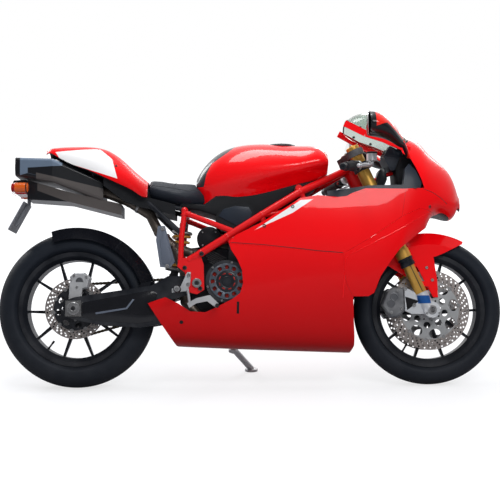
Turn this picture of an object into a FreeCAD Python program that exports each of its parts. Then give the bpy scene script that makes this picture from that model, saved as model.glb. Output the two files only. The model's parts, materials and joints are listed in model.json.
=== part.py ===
import FreeCAD, Part
import math
import os

# A sport bike that leans on its side stand, in millimetres.
# It is modelled upright: X forward, Y to its left, Z up, with X = 0 midway between the axles
# and Z = 0 on the ground. Once whole, it is leaned over and moved to its stored origin.

# Overall sizes, which the outlines below are shares of
WHEELBASE = 1420.0
BODY_HEIGHT = 1110.0
BODY_WIDTH = 460.0
LEAN_DEGREES = 12.0

# Clearances
RUNNING_GAP = 6.0
SEAT_GAP = 0.3
PANEL_GAP = 2.0
SEAM_GAP = 0.6
OVERRUN = 30.0

# Wheels and tyres
FRONT_TYRE_RADIUS = 300.0
FRONT_TYRE_WIDTH = 120.0
REAR_TYRE_RADIUS = 315.0
REAR_TYRE_WIDTH = 180.0
TYRE_SHOULDER_DROP = 46.0
BEAD_RADIUS = 219.0
FLANGE_RADIUS = 229.0
RIM_WELL_RADIUS = 196.0
RIM_WALL = 7.0
RIM_FLANGE_WALL = 6.0
FRONT_RIM_WIDTH = 89.0
REAR_RIM_WIDTH = 140.0
SPOKE_PAIRS = 5
SPOKE_SPREAD_DEGREES = 17.0
SPOKE_ROOT_WIDTH = 17.0
SPOKE_ROOT_DEPTH = 40.0
SPOKE_TIP_WIDTH = 9.0
SPOKE_TIP_DEPTH = 20.0
SPOKE_PAIR_DEGREES = 55.0
FRONT_HUB_RADIUS = 38.0
FRONT_HUB_WIDTH = 96.0
REAR_HUB_RADIUS = 46.0
REAR_HUB_WIDTH = 120.0
HUB_BORE_CLEARANCE = 0.5

# Axles
FRONT_AXLE_RADIUS = 14.0
FRONT_AXLE_BORE = 10.0
FRONT_AXLE_LENGTH = 252.0
REAR_AXLE_RADIUS = 14.0
REAR_AXLE_BORE = 9.0
REAR_AXLE_LENGTH = 326.0
AXLE_COLLAR_RADIUS = 20.0

# Brakes
FRONT_DISC_RADIUS = 160.0
FRONT_DISC_BAND = 34.0
FRONT_DISC_THICKNESS = 5.0
FRONT_DISC_OFFSET = 66.0
DISC_CARRIER_THICKNESS = 4.0
CARRIER_ARMS = 6
CARRIER_ARM_WIDTH = 18.0
REAR_DISC_RADIUS = 120.0
REAR_DISC_BAND = 30.0
REAR_DISC_THICKNESS = 6.0
REAR_DISC_OFFSET = 88.0
DISC_HOLE_RADIUS = 4.5
DISC_HOLE_COUNT = 16
CALIPER_SLOT_CLEARANCE = 6.0

# Steering
RAKE_DEGREES = 24.5
STEERING_OFFSET = 36.0
AXLE_LEAD = 8.0
FORK_HALF_SPREAD = 105.0
OUTER_TUBE_RADIUS = 27.0
SLIDER_RADIUS = 21.5
OUTER_TUBE_START = 198.0
FORK_TOP = 722.0
FORK_FOOT_TOP = 78.0
FORK_FOOT_RADIUS = 26.0
UPPER_YOKE_ALONG = 698.0
LOWER_YOKE_ALONG = 452.0
YOKE_THICKNESS = 26.0
LOWER_YOKE_THICKNESS = 42.0
STEM_RADIUS = 17.0
HEAD_TUBE_RADIUS = 34.0
BAR_RADIUS = 11.0
BAR_ALONG = 642.0
BAR_LENGTH = 250.0
BAR_SWEEP_DEGREES = 22.0
BAR_DROP_DEGREES = 9.0
GRIP_RADIUS = 16.0
GRIP_LENGTH = 120.0
BAR_END_RADIUS = 13.0
BAR_END_LENGTH = 30.0

# Frame
FRAME_TUBE_RADIUS = 15.0
FRAME_BRACE_RADIUS = 11.0
CROSS_TUBE_RADIUS = 13.0
CASTING_THICKNESS = 26.0
PIVOT_RADIUS = 20.0

# Bodywork
PANEL_WALL = 4.0

# Angles, and how far an edge may turn from an axis that it is said to run along
FULL_TURN = 360.0
ALONG_SHARE = 0.5

# Rim
RIM_WELL_SHARE = 0.7

# Filled in
STATION_STEP_SHARE = 0.0465

# Fairing skin
# Half sections of the fairing at stations along the bike, keel to ridge: (x, [(y, z) ...])
FAIRING_SECTION_SHARES = [
    (-0.3099, [(0, 0.155), (0.1435, 0.1568), (0.2565, 0.1802), (0.3304, 0.2342), (0.3739, 0.3604),
        (0.3913, 0.4865), (0.387, 0.6126), (0.3565, 0.7207), (0.2652, 0.8108), (0, 0.8559)]),
    (-0.1831, [(0, 0.1459), (0.1522, 0.1477), (0.263, 0.1703), (0.3391, 0.227), (0.3978, 0.3604),
        (0.4261, 0.4865), (0.4304, 0.6126), (0.4, 0.7207), (0.3043, 0.8198), (0, 0.8739)]),
    (-0.0423, [(0, 0.1369), (0.1609, 0.1387), (0.2696, 0.1613), (0.3478, 0.2261), (0.4174, 0.3604),
        (0.4609, 0.4865), (0.4609, 0.6126), (0.4261, 0.7207), (0.3261, 0.8288), (0, 0.8829)]),
    (0.0986, [(0, 0.1297), (0.1652, 0.1315), (0.2739, 0.155), (0.3565, 0.2252), (0.4304, 0.3604),
        (0.4783, 0.4865), (0.4783, 0.6126), (0.4391, 0.7207), (0.337, 0.8378), (0, 0.8919)]),
    (0.2254, [(0, 0.1234), (0.1652, 0.1252), (0.2739, 0.1495), (0.3565, 0.2243), (0.4348, 0.3604),
        (0.4848, 0.4865), (0.4826, 0.6126), (0.4391, 0.7207), (0.337, 0.8378), (0, 0.9009)]),
    (0.2817, [(0, 0.1207), (0.163, 0.1225), (0.2739, 0.1477), (0.3565, 0.2234), (0.4348, 0.3604),
        (0.4826, 0.4865), (0.4804, 0.6126), (0.437, 0.7207), (0.3348, 0.8396), (0, 0.9099)]),
    (0.331, [(0, 0.1243), (0.1609, 0.127), (0.2717, 0.1532), (0.3543, 0.2306), (0.4283, 0.364),
        (0.4783, 0.4883), (0.4761, 0.6135), (0.4326, 0.7216), (0.3304, 0.8423), (0, 0.9189)]),
    (0.3944, [(0, 0.2703), (0.1609, 0.273), (0.2696, 0.2928), (0.3478, 0.3423), (0.4196, 0.4234),
        (0.463, 0.5135), (0.463, 0.6216), (0.4261, 0.7252), (0.3174, 0.8378), (0, 0.9279)]),
    (0.4507, [(0, 0.4775), (0.1522, 0.4802), (0.2565, 0.4937), (0.337, 0.5225), (0.3978, 0.5631),
        (0.4304, 0.6126), (0.4326, 0.6712), (0.4022, 0.7477), (0.2826, 0.8423), (0, 0.9153)]),
    (0.5, [(0, 0.5901), (0.1304, 0.591), (0.2174, 0.5964), (0.2913, 0.609), (0.3478, 0.6288),
        (0.3739, 0.6559), (0.3739, 0.6919), (0.337, 0.7523), (0.2261, 0.8198), (0, 0.8667)]),
    (0.5458, [(0, 0.609), (0.0978, 0.6099), (0.1696, 0.6144), (0.2261, 0.6252), (0.2652, 0.6414),
        (0.2826, 0.6631), (0.2783, 0.6919), (0.2435, 0.7369), (0.1565, 0.7856), (0, 0.8108)]),
    (0.581, [(0, 0.6162), (0.0609, 0.6171), (0.1043, 0.6216), (0.1391, 0.6315), (0.1609, 0.645),
        (0.1696, 0.6613), (0.1652, 0.6802), (0.1435, 0.7072), (0.0913, 0.7333), (0, 0.7441)]),
    (0.5993, [(0, 0.6342), (0.0174, 0.6351), (0.0304, 0.6378), (0.0413, 0.6423), (0.0478, 0.6486),
        (0.05, 0.6559), (0.0478, 0.664), (0.0413, 0.6739), (0.0261, 0.682), (0, 0.6847)]),
]

# Belly pans
BELLY_OUTLINE_SHARES = [
    (-0.2176, 0.1486), (-0.1127, 0.0901), (0.2606, 0.0811), (0.2718, 0.1207), (0.2789, 0.1441),
    (0.2782, 0.1802), (0.2754, 0.236), (0.2732, 0.3171), (0.2563, 0.3568), (0.2465, 0.409),
    (0.2465, 0.4685), (0.1803, 0.4757), (0.1254, 0.4838), (0.0211, 0.4973), (-0.0683, 0.5063),
    (-0.0634, 0.4847), (-0.0472, 0.4532), (-0.0338, 0.4135), (-0.031, 0.3676), (-0.0394, 0.3324),
    (-0.062, 0.3117), (-0.1113, 0.2802), (-0.1366, 0.2667), (-0.1775, 0.2703), (-0.2106, 0.2991),
    (-0.2458, 0.3207), (-0.2599, 0.3153), (-0.2944, 0.3), (-0.2613, 0.2333),
]

# Nose fairing
NOSE_OUTLINE_SHARES = [
    (0.4239, 0.6982), (0.4099, 0.5982), (0.4451, 0.6189), (0.4648, 0.6297), (0.4923, 0.6207),
    (0.5176, 0.6144), (0.5176, 0.5766), (0.6338, 0.5766), (0.6338, 0.8108), (0.5634, 0.9459),
    (0.4549, 0.9459), (0.4197, 0.8541), (0.4218, 0.8351), (0.4437, 0.8099), (0.457, 0.7739),
    (0.4704, 0.7306), (0.4761, 0.7018),
]
SCREEN_ARM_WIDTH = 26.0
SCREEN_ARM_DEPTH = 6.0
SCREEN_ARM_SHARES = [
    (0.4451, -0.2739, 0.8468), (0.3944, -0.3, 0.8721), (0.369, -0.3043, 0.8865),
    (0.3197, -0.2935, 0.9081), (0.262, -0.2696, 0.9477),
]
UPPER_LAMP_SHARES = (0.5246, 0, 0.7315)
UPPER_LAMP_RADIUS = 42.0
LOWER_LAMP_SHARES = (0.5352, 0, 0.6631)
LOWER_LAMP_RADIUS = 24.0
LAMP_REACH = 150.0

# Headlamps
LAMP_BACK_THICKNESS = 36.0
LAMP_BACK_WIDTH = 90.0
LAMP_BACK_HEIGHT = 170.0
LAMP_BACK_SHARES = (0.5141, 0, 0.6216)

# Windscreen
# Screen sections at stations: (x, half width at foot, z at foot, half width above, z above, z of ridge)
SCREEN_SECTION_SHARES = [
    (0.2761, 0.2435, 0.9477, 0.1826, 0.964, 0.9721),
    (0.3028, 0.2565, 0.9207, 0.2, 0.9658, 0.9964),
    (0.3451, 0.2696, 0.8982, 0.2174, 0.9586, 1.0018),
    (0.3873, 0.2696, 0.8784, 0.213, 0.9351, 0.9793),
    (0.4261, 0.2522, 0.8577, 0.1913, 0.9036, 0.9396),
    (0.4507, 0.2087, 0.8541, 0.1478, 0.8901, 0.9135),
]
SCREEN_WALL = 3.0

# Tank ring
TANK_TOP_SHARE = 0.55
TANK_BOTTOM_SHARE = 0.6

# Fuel tank
# Tank sections: (x, z of ridge, crease y, crease z, widest y, widest z, z of bottom)
TANK_SECTION_SHARES = [
    (-0.1592, 0.755, 0.113, 0.7459, 0.1478, 0.7297, 0.7153),
    (-0.1338, 0.809, 0.1739, 0.7856, 0.213, 0.7207, 0.6505),
    (-0.0894, 0.8577, 0.2261, 0.8198, 0.2696, 0.7279, 0.6396),
    (-0.0239, 0.8847, 0.2522, 0.8378, 0.3109, 0.7459, 0.6613),
    (0.0563, 0.8874, 0.2565, 0.8423, 0.3304, 0.7658, 0.6919),
    (0.1408, 0.8811, 0.2565, 0.8468, 0.3304, 0.7856, 0.7261),
    (0.2, 0.8667, 0.2435, 0.845, 0.3087, 0.8018, 0.7586),
    (0.2141, 0.845, 0.2174, 0.8306, 0.2783, 0.8018, 0.7712),
]
CAP_SHARES = (0.0845, 0, 0.8775)
CAP_RADIUS = 52.0
CAP_RING = 12.0
CAP_WELL_HEIGHT = 40.0
CROSS_TUBE_SHARES = [(-0.1915, -0.3261, 0.6306), (0.1268, -0.3739, 0.7072)]

# Cap hinge
CAP_HINGE_RADIUS = 4.0

# Fuel cap
CAP_THICKNESS = 8.0
CAP_HINGE_WIDTH = 30.0

# Seat pad
# Seat sections: (x, half width, z of top, z of bottom)
SEAT_SECTION_SHARES = [
    (-0.293, 0.2522, 0.7414, 0.6829), (-0.2775, 0.2826, 0.7378, 0.6784),
    (-0.2345, 0.3087, 0.7252, 0.6658), (-0.1845, 0.287, 0.7207, 0.6523),
    (-0.1444, 0.2174, 0.7135, 0.6505), (-0.1254, 0.1609, 0.6973, 0.6541),
]
SEAT_SHOULDER_SHARE = 0.72
SEAT_RAIL_SHARE = 0.2
WELD_SHARE = 1.06
# Subframe that carries seat and tail
RAIL_SHARES = [
    (-0.1915, -0.2435, 0.636), (-0.2958, -0.2261, 0.6739), (-0.4155, -0.2087, 0.7622),
    (-0.5211, -0.1522, 0.8216),
]
SUBFRAME_RADIUS = 10.0

# Tail cowl
# Tail cowl sections: (x, half width, z of lower edge, z of shoulder, z of ridge)
TAIL_SECTION_SHARES = [
    (-0.5845, 0.1435, 0.8468, 0.8577, 0.8667),
    (-0.5563, 0.2087, 0.8396, 0.8631, 0.8766),
    (-0.5099, 0.2522, 0.8045, 0.8541, 0.8802),
    (-0.4577, 0.2783, 0.7793, 0.8423, 0.8793),
    (-0.4204, 0.2957, 0.7568, 0.8243, 0.8703),
    (-0.3732, 0.313, 0.7279, 0.7883, 0.8342),
    (-0.331, 0.3261, 0.6991, 0.7459, 0.7838),
    (-0.2958, 0.3304, 0.6811, 0.7117, 0.7459),
]
TAIL_SHOULDER_SHARE = 0.82
TAIL_CROWN_SHARE = 0.45
COWL_POST_X_SHARES = [-0.4296, -0.493]
COWL_POST_RADIUS = 5.0

# Silencer
# Boxes under the tail as (x, half width, top, bottom) from the rear forwards
SILENCER_SHARES = [(-0.669, 0.2174, 0.8333, 0.7658), (-0.5634, 0.2435, 0.827, 0.7405),
                   (-0.4225, 0.1957, 0.7477, 0.6712)]
OUTLET_RADIUS = 26.0
OUTLET_SPREAD = 50.0
OUTLET_DEPTH = 60.0
OUTLET_Z_SHARE = 0.7991
SILENCER_ROUND = 14.0

# Undertail
UNDERTAIL_SHARES = [(-0.6373, 0.1522, 0.7532, 0.682), (-0.5183, 0.1826, 0.7063, 0.6712),
                    (-0.3711, 0.1826, 0.6622, 0.6216)]

# Tail tray
TRAY_SHARES = [(-0.4197, 0.2565, 0.7676, 0.7261), (-0.3662, 0.2609, 0.7261, 0.6721),
               (-0.3099, 0.2609, 0.6865, 0.645), (-0.2183, 0.2609, 0.6559, 0.6162)]

# Lamp front
# Rear lamp, indicators and plate
LAMP_Z_SHARE = 0.727

# Rear lamps
TAIL_LAMP_LENGTH = 56.0
TAIL_LAMP_WIDTH = 110.0
TAIL_LAMP_HEIGHT = 52.0
INDICATOR_PLACE_SHARES = (-0.6514, -0.2435, 0.7207)
INDICATOR_RADIUS = 20.0
INDICATOR_LENGTH = 62.0
INDICATOR_STALK_RADIUS = 6.0
BRACKET_WIDTH = 40.0

# Plate holder
PLATE_WIDTH = 180.0
PLATE_HEIGHT = 130.0
PLATE_THICKNESS = 3.0
PLATE_TOP_SHARES = (-0.6451, 0, 0.6739)
PLATE_FOOT_SHARES = (-0.6873, 0, 0.5766)
BRACKET_THICKNESS = 8.0
BRACKET_REACH_SHARE = 0.8

# Frame trellis
# Frame: nodes of the tube work on the right side
MAIN_TUBE_SHARES = [
    (0.1303, -0.3739, 0.6919), (0.0232, -0.3826, 0.6099), (-0.0739, -0.3826, 0.5324),
    (-0.1465, -0.3739, 0.4757), (-0.1796, -0.3609, 0.4505),
]
LOWER_TUBE_SHARES = [(0.1585, -0.3478, 0.6306), (0.0423, -0.3565, 0.5045), (-0.0141, -0.3261, 0.427)]
UPRIGHT_SHARES = [(-0.1915, -0.3261, 0.6306), (-0.2, -0.3478, 0.5405), (-0.2042, -0.3609, 0.4324)]
DIAGONAL_SHARES = [
    ((-0.1915, -0.3261, 0.6216), (-0.0521, -0.3826, 0.5495)), ((0.1303, -0.3739, 0.6919),
    (0.1585, -0.3478, 0.6306)), ((0.0232, -0.3826, 0.6099), (0.0423, -0.3565, 0.5045)),
    ((0.0232, -0.3826, 0.6099), (0.1585, -0.3478, 0.6306)), ((-0.0739, -0.3826, 0.5324),
    (0.0423, -0.3565, 0.5045)), ((-0.0739, -0.3826, 0.5324), (-0.0141, -0.3261, 0.427)),
]
SHOCK_PIN_RADIUS = 9.0
PIVOT_CASTING_SHARES = [
    (-0.2127, 0.4288), (-0.2056, 0.4577), (-0.1465, 0.4631), (-0.1394, 0.436), (-0.138, 0.3459),
    (-0.1585, 0.3297), (-0.1845, 0.3387), (-0.1915, 0.4072),
]
ENGINE_LUG_RADIUS = 14.0
CASTING_OUTER = 180.0
HEAD_LOW = 482.0
HEAD_HIGH = 672.0
HEAD_TUBE_NODES = (658.0, 500.0)
STAY_ALONG = 575.0
STAY_LEAD = -6.0
STAY_SHARES = [(0.4155, 0, 0.7856), (0.5134, 0, 0.7207)]
STAY_RADIUS = 9.0
CRANKCASE_HALF = 120.0
# Suspension
SHOCK_TOP_SHARES = (-0.1972, 0, 0.5901)

# Subframe
STRUT_SHARES = [((-0.2, -0.3435, 0.5459), (-0.3099, -0.2261, 0.682))]
HANGER_X_SHARES = [-0.4507, -0.5141]

# Engine block
PIVOT_SHARES = (-0.1585, 0, 0.3694)
# Engine: crankcase, forward cylinder and upright cylinder
CRANKCASE_SHARES = [
    (-0.1197, 0.2973), (-0.1282, 0.3784), (-0.0845, 0.4505), (0.0141, 0.4324), (0.0915, 0.3874),
    (0.1338, 0.2973), (0.1127, 0.2072), (0.0423, 0.1622), (-0.0634, 0.1802),
]
FRONT_CYLINDER_SHARES = [
    (0.0845, 0.2162), (0.2324, 0.2432), (0.2535, 0.2793), (0.2465, 0.3514), (0.2254, 0.3784),
    (0.0915, 0.3694),
]
UPRIGHT_CYLINDER_SHARES = [
    (-0.0704, 0.4234), (-0.0676, 0.5946), (-0.0423, 0.6216), (0.0282, 0.6216), (0.0465, 0.5856),
    (0.0423, 0.3964),
]
CYLINDER_HALF = 85.0
PAN_STUD_SHARES = [(0.0704, 0.2703), (-0.0423, 0.2342)]
PAN_STUD_RADIUS = 7.0
ENGINE_ROUND = 18.0
ENGINE_TAIL_LENGTH = 90.0
ENGINE_TAIL_WIDTH = 120.0
ENGINE_TAIL_HEIGHT = 80.0
CLUTCH_SHARES = (-0.0754, 0, 0.3748)
CLUTCH_RADIUS = 88.0
CLUTCH_BASE_REACH = 142.0
CLUTCH_STEP = 8.0
ALTERNATOR_SHARES = (0.0141, 0, 0.3477)
ALTERNATOR_RADIUS = 64.0
ALTERNATOR_REACH = 165.0
CHAIN_OFFSET = 108.0
CHAIN_DEPTH = 15.0
FRONT_SPROCKET_SHARES = (-0.1127, 0, 0.3649)
FRONT_SPROCKET_RADIUS = 38.0
SPROCKET_SHAFT_RADIUS = 14.0
SPROCKET_THICKNESS = 6.0
SPROCKET_WELL = 20.0
CHAIN_RUN_GAP = 1.0

# Clutch cover
CLUTCH_COVER_REACH = 170.0
CLUTCH_COVER_RIM = 16.0
CLUTCH_VENTS = 12

# Swingarm
# Swingarm
SWINGARM_OUTLINE_SHARES = [
    (-0.5268, 0.3117), (-0.4958, 0.3243), (-0.2845, 0.3631), (-0.2394, 0.3964), (-0.1585, 0.3964),
    (-0.1408, 0.3712), (-0.1493, 0.3423), (-0.2324, 0.3108), (-0.2627, 0.2252), (-0.3183, 0.2144),
    (-0.4296, 0.2252), (-0.4859, 0.2414), (-0.5239, 0.255),
]
ARM_INNER = 122.0
ARM_OUTER = 150.0
ARM_BRIDGE_SHARES = [(-0.2479, 0.3108), (-0.2479, 0.382), (-0.2127, 0.382), (-0.2127, 0.3171)]
SHOCK_EAR_SHARES = [(-0.2451, 0.3766), (-0.238, 0.4117), (-0.2155, 0.4117), (-0.2141, 0.3766)]
SHOCK_EAR_THICKNESS = 8.0
SHOCK_EYE_HALF = 16.0
SHOCK_FOOT_SHARES = (-0.2268, 0, 0.3991)

# Rear axle
AXLE_PLATE = 62.0
AXLE_PLATE_THICKNESS = 10.0

# Outer tubes
TUBE_RING = 34.0
TUBE_RING_REACH = 3.0
SLIDER_DEPTH = 120.0

# Slider
FOOT_SOCKET = 20.0

# Fork lowers
FOOT_HALF_WIDTH = 22.0
CALIPER_BRACKET_SHARES = [
    (0.493, 0.2901), (0.4507, 0.3351), (0.4242, 0.3514), (0.4256, 0.2667), (0.4437, 0.2559),
    (0.493, 0.2541),
]
FOOT_DROP = 6.0
FOOT_EYE_RADIUS = 32.0
BRACKET_OUTER = 112.0
BRACKET_INNER = 96.0

# Caliper
CALIPER_CHAMFER = 6.0

# Front calipers
FRONT_CALIPER_SHARES = [
    (0.3746, 0.3378), (0.3944, 0.3532), (0.4239, 0.3514), (0.4254, 0.2667), (0.4028, 0.2432),
    (0.3845, 0.2414), (0.3592, 0.2865),
]
CALIPER_OUTER = 112.0
CALIPER_INNER = 52.0

# Rear caliper
REAR_CALIPER_SHARES = [
    (-0.5134, 0.3991), (-0.5, 0.4135), (-0.4732, 0.4135), (-0.4549, 0.3937), (-0.462, 0.3559),
    (-0.493, 0.3495), (-0.5113, 0.3712),
]
REAR_CALIPER_OUTER = 116.0
REAR_CALIPER_INNER = 66.0
REAR_CARRIER_SHARES = [(-0.5169, 0.2973), (-0.5127, 0.3784), (-0.4761, 0.3784), (-0.4831, 0.2973)]
CARRIER_WALL = 12.0

# Yoke
YOKE_WALL = 9.0
YOKE_WIDTH = 62.0
YOKE_TAPER_SHARE = 0.7

# Hand levers
LEVER_CLAMP_ALONG = 62.0
LEVER_CLAMP_WIDTH = 20.0
LEVER_REACH = 58.0
LEVER_LENGTH = 165.0
LEVER_THICKNESS = 8.0
LEVER_WIDTH = 18.0
RESERVOIR_HEIGHT = 31.0
RESERVOIR_RADIUS = 21.0
RESERVOIR_STAND = 6.0

# Guard section
# Mudguards
GUARD_GAP = 10.0
GUARD_WALL = 4.0
GUARD_SHOULDER_SHARE = 0.5
GUARD_DROP_SHARE = 0.8

# Front mudguard
FRONT_GUARD_FROM_DEGREES = 62.0
FRONT_GUARD_TO_DEGREES = 142.0
FRONT_GUARD_DEPTH = 144.0
FRONT_GUARD_SIDE_SHARES = [
    (0.6127, 0.5144), (0.5908, 0.5054), (0.5676, 0.491), (0.5444, 0.4766), (0.5211, 0.4649),
    (0.4859, 0.4559), (0.4542, 0.4162), (0.4338, 0.391), (0.3838, 0.4306), (0.338, 0.4378),
    (0.3099, 0.4378), (0.3099, 0.5766), (0.6127, 0.5766),
]
FRONT_LEG_SHARES = [
    (0.4563, 0.4505), (0.5099, 0.3153), (0.5239, 0.3153), (0.5225, 0.3784), (0.5127, 0.4685),
    (0.493, 0.4865), (0.4648, 0.4775),
]
FRONT_TAB_SHARES = [(0.4648, 0.3586), (0.4704, 0.3748), (0.5014, 0.3676), (0.4972, 0.3514)]

# Rear mudguard
REAR_GUARD_FROM_DEGREES = 14.0
REAR_GUARD_TO_DEGREES = 108.0
GUARD_FOOT_SHARES = [(-0.3183, 0.3569), (-0.2901, 0.3621), (-0.2845, 0.3784), (-0.3141, 0.3712)]

# Sprocket
REAR_SPROCKET_RADIUS = 98.0
TOOTH_COUNT = 38
TOOTH_DEPTH = 7.0
# Each tooth's corners: (share of the pitch, share of the depth below the tip)
TOOTH_STEP_SHARES = [(0, 1), (0.3, 0), (0.5, 0), (0.8, 1)]
SPROCKET_BORE_GAP = 7.2

# Chain loop
CHAIN_WIDTH = 20.0

# Shock absorber
SHOCK_BODY_RADIUS = 16.0
SHOCK_EYE_SHARE = 1.06
SPRING_RADIUS = 34.0
SPRING_WIRE_RADIUS = 6.0

# Shock spring
SPRING_TURNS = 6
SPRING_STEPS = 14
SPRING_SIDES = 8

# Exhaust pipes
# Exhaust
PIPE_SHARES = [
    [(-0.0634, -0.0435, 0.5045), (-0.1197, -0.0652, 0.4937), (-0.1775, -0.1391, 0.4829),
     (-0.2254, -0.2, 0.5045)],
    [(-0.0775, -0.1391, 0.2252), (-0.1479, -0.187, 0.2432), (-0.1915, -0.2, 0.3063),
     (-0.1944, -0.2043, 0.4234), (-0.2254, -0.2, 0.5045), (-0.2662, -0.187, 0.5586),
     (-0.2901, -0.1348, 0.6216), (-0.3521, -0.0978, 0.6739), (-0.4296, -0.087, 0.7135)],
]
PIPE_RADIUS = 20.0
SHIELD_Y = 128.0
SHIELD_STUD_SHARES = [(-0.2549, -0.1913, 0.5459), (-0.2282, -0.2, 0.5099)]
SHIELD_STUD_RADIUS = 5.0

# Heat shield
SHIELD_SHARES = [
    (-0.2669, 0.5775), (-0.2472, 0.5766), (-0.2197, 0.4477), (-0.2338, 0.4261), (-0.2613, 0.4297),
    (-0.2725, 0.527),
]

# Radiator
# Radiator and cockpit
RADIATOR_FOOT_SHARES = (0.2183, 0, 0.3964)
RADIATOR_TOP_SHARES = (0.2761, 0, 0.5766)
RADIATOR_WIDTH = 300.0
RADIATOR_THICKNESS = 34.0
RADIATOR_LUG_X_SHARE = 0.2141
RADIATOR_LUG_RADIUS = 8.0

# Dashboard
DASH_SHARES = [(0.3768, 0.8333), (0.3944, 0.8721), (0.4352, 0.8468), (0.4183, 0.782), (0.3944, 0.782)]
DASH_HALF = 70.0

# Cockpit panels
DUCT_SHARES = [
    (0.2042, 0.6757), (0.2324, 0.6649), (0.331, 0.6919), (0.4197, 0.6919), (0.4197, 0.7135),
    (0.3239, 0.7117), (0.2254, 0.6937), (0.2042, 0.6919),
]
DUCT_OUTER = 216.0
TRIM_SHARES = [
    (0.4155, 0.6937), (0.4648, 0.6937), (0.4704, 0.7207), (0.4563, 0.7658), (0.438, 0.7928),
    (0.4254, 0.7748),
]
TRIM_INNER = 140.0
DUCT_INNER = 154.0

# Airbox covers
AIRBOX_COVER_SHARES = [
    (-0.1042, 0.6063), (-0.0873, 0.6387), (-0.0507, 0.6523), (-0.0092, 0.6486), (0.0021, 0.6234),
    (-0.0014, 0.5874), (-0.0373, 0.5586),
]
AIRBOX_COVER_Y = 140.0
AIRBOX_SHARES = [(-0.0859, 0.6216), (-0.0859, 0.6306), (-0.0099, 0.6486), (-0.0099, 0.6216)]

# Mirrors
# Mirrors: sections (x, y of middle, half width, z of foot, z of top)
MIRROR_SECTION_SHARES = [
    (0.3099, 0.75, 0.1565, 0.8721, 0.9514), (0.331, 0.7435, 0.1609, 0.8667, 0.9514),
    (0.3577, 0.7217, 0.1435, 0.8595, 0.9351), (0.3838, 0.6783, 0.1043, 0.845, 0.9045),
    (0.407, 0.6217, 0.0565, 0.8342, 0.8703),
]
MIRROR_ROOT_SHARES = (0.438, -0.3239, 0.8216)
MIRROR_STALK_RADIUS = 9.0

# Footrests
# Foot controls and stand
HANGER_SHARES = [
    (-0.1845, 0.4072), (-0.1746, 0.4072), (-0.1768, 0.3604), (-0.1887, 0.3405), (-0.2268, 0.3351),
    (-0.2268, 0.3495), (-0.2028, 0.3568),
]
HANGER_OUTER = 202.0
PEG_SHARES = (-0.2113, -0.4217, 0.3459)
PEDAL_LINK_SHARES = ((-0.1845, 0.3532), (-0.1775, 0.2901))
PEG_RADIUS = 11.0
PEG_LENGTH = 84.0
PEDAL_SHARES = [
    (-0.1852, 0.2973), (-0.1606, 0.3153), (-0.1225, 0.3261), (-0.0986, 0.2955), (-0.1056, 0.2811),
    (-0.1303, 0.3045), (-0.1606, 0.2973), (-0.1796, 0.2811),
]

# Stand foot
STAND_FOOT_X_SHARE = -0.0014
STAND_REACH = 262.0
STAND_PAD_THICKNESS = 10.0

# Stand axis
STAND_PIVOT_SHARES = (-0.0563, 0.2826, 0.1351)
STAND_FOLDED_SHARES = (-0.97, 0.22, 0.1)

# Side stand
STAND_EYE_HALF = 14.0
STAND_RADIUS = 13.0
STAND_PIVOT_RADIUS = 9.0
STAND_PAD_RADIUS = 27.0

# Stand bracket
STAND_LUG_DEPTH = 14.0
STAND_ROOT_SHARES = (-0.0563, 0.2174, 0.2162)

# Upright parts
SIDE_PANEL_OUTLINE_SHARES = [
    (-0.0683, 0.5063), (0.0211, 0.4973), (0.1254, 0.4838), (0.1803, 0.4757), (0.2465, 0.4685),
    (0.3239, 0.5252), (0.4099, 0.5982), (0.4239, 0.6982), (0.35, 0.6991), (0.3113, 0.7), (0.2718, 0.682),
    (0.2585, 0.6721), (0.2331, 0.6685), (0.1782, 0.6757), (0.1282, 0.6658), (0.1, 0.6414),
    (0.0225, 0.5811), (-0.05, 0.536), (-0.069, 0.5144),
]
VENT_PANEL_OUTLINE_SHARES = [
    (0.2465, 0.4685), (0.2465, 0.409), (0.2563, 0.3568), (0.2732, 0.3171), (0.3155, 0.318),
    (0.331, 0.3297), (0.3493, 0.3892), (0.3732, 0.4342), (0.4049, 0.4865), (0.4613, 0.5423),
    (0.5176, 0.5928), (0.5176, 0.6144), (0.4923, 0.6207), (0.4648, 0.6297), (0.4451, 0.6189),
    (0.4099, 0.5982), (0.3239, 0.5252),
]


def vec(x, y, z):
    return FreeCAD.Vector(x, y, z)


X_AXIS = vec(1, 0, 0)
Y_AXIS = vec(0, 1, 0)
Z_AXIS = vec(0, 0, 1)


# Places on the bike as shares of its overall sizes
def along(x_share):
    return x_share * WHEELBASE


def across(y_share):
    return y_share * BODY_WIDTH


def up(z_share):
    return z_share * BODY_HEIGHT


def side_points(shares):
    return [(along(x), up(z)) for x, z in shares]


def place(x_share, y_share, z_share):
    return vec(along(x_share), across(y_share), up(z_share))


LEAN = math.radians(LEAN_DEGREES)
# The leaning bike settles a little at the front, because its front tyre's crown is narrower
FRONT_SETTLE = (REAR_TYRE_WIDTH - FRONT_TYRE_WIDTH) / 2 * (1 / math.cos(LEAN) - 1)
REAR_AXLE = vec(-WHEELBASE / 2, 0, REAR_TYRE_RADIUS)
FRONT_AXLE = vec(WHEELBASE / 2, 0, FRONT_TYRE_RADIUS - FRONT_SETTLE)


# Shapes used throughout
def polygon_face(points):
    wire = Part.makePolygon(points + [points[0]])
    return Part.Face(wire)


def side_plate(points, y_from, y_to):
    """A plate whose outline lies in the side view, between two distances across the bike."""
    face = polygon_face([vec(x, y_from, z) for x, z in points])
    return face.extrude(vec(0, y_to - y_from, 0))


def spline_edge(points, closed=False):
    curve = Part.BSplineCurve()
    curve.interpolate(Points=points, PeriodicFlag=closed)
    return curve.toShape()


def smooth_plate(points, y_from, y_to):
    """A plate with a smooth closed outline in the side view."""
    edge = spline_edge([vec(x, y_from, z) for x, z in points], True)
    return Part.Face(Part.Wire([edge])).extrude(vec(0, y_to - y_from, 0))


def ring_wire(points):
    return Part.Wire([spline_edge(points, True)])


def loft(wires, ruled=False):
    return Part.makeLoft(wires, True, ruled)


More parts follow.
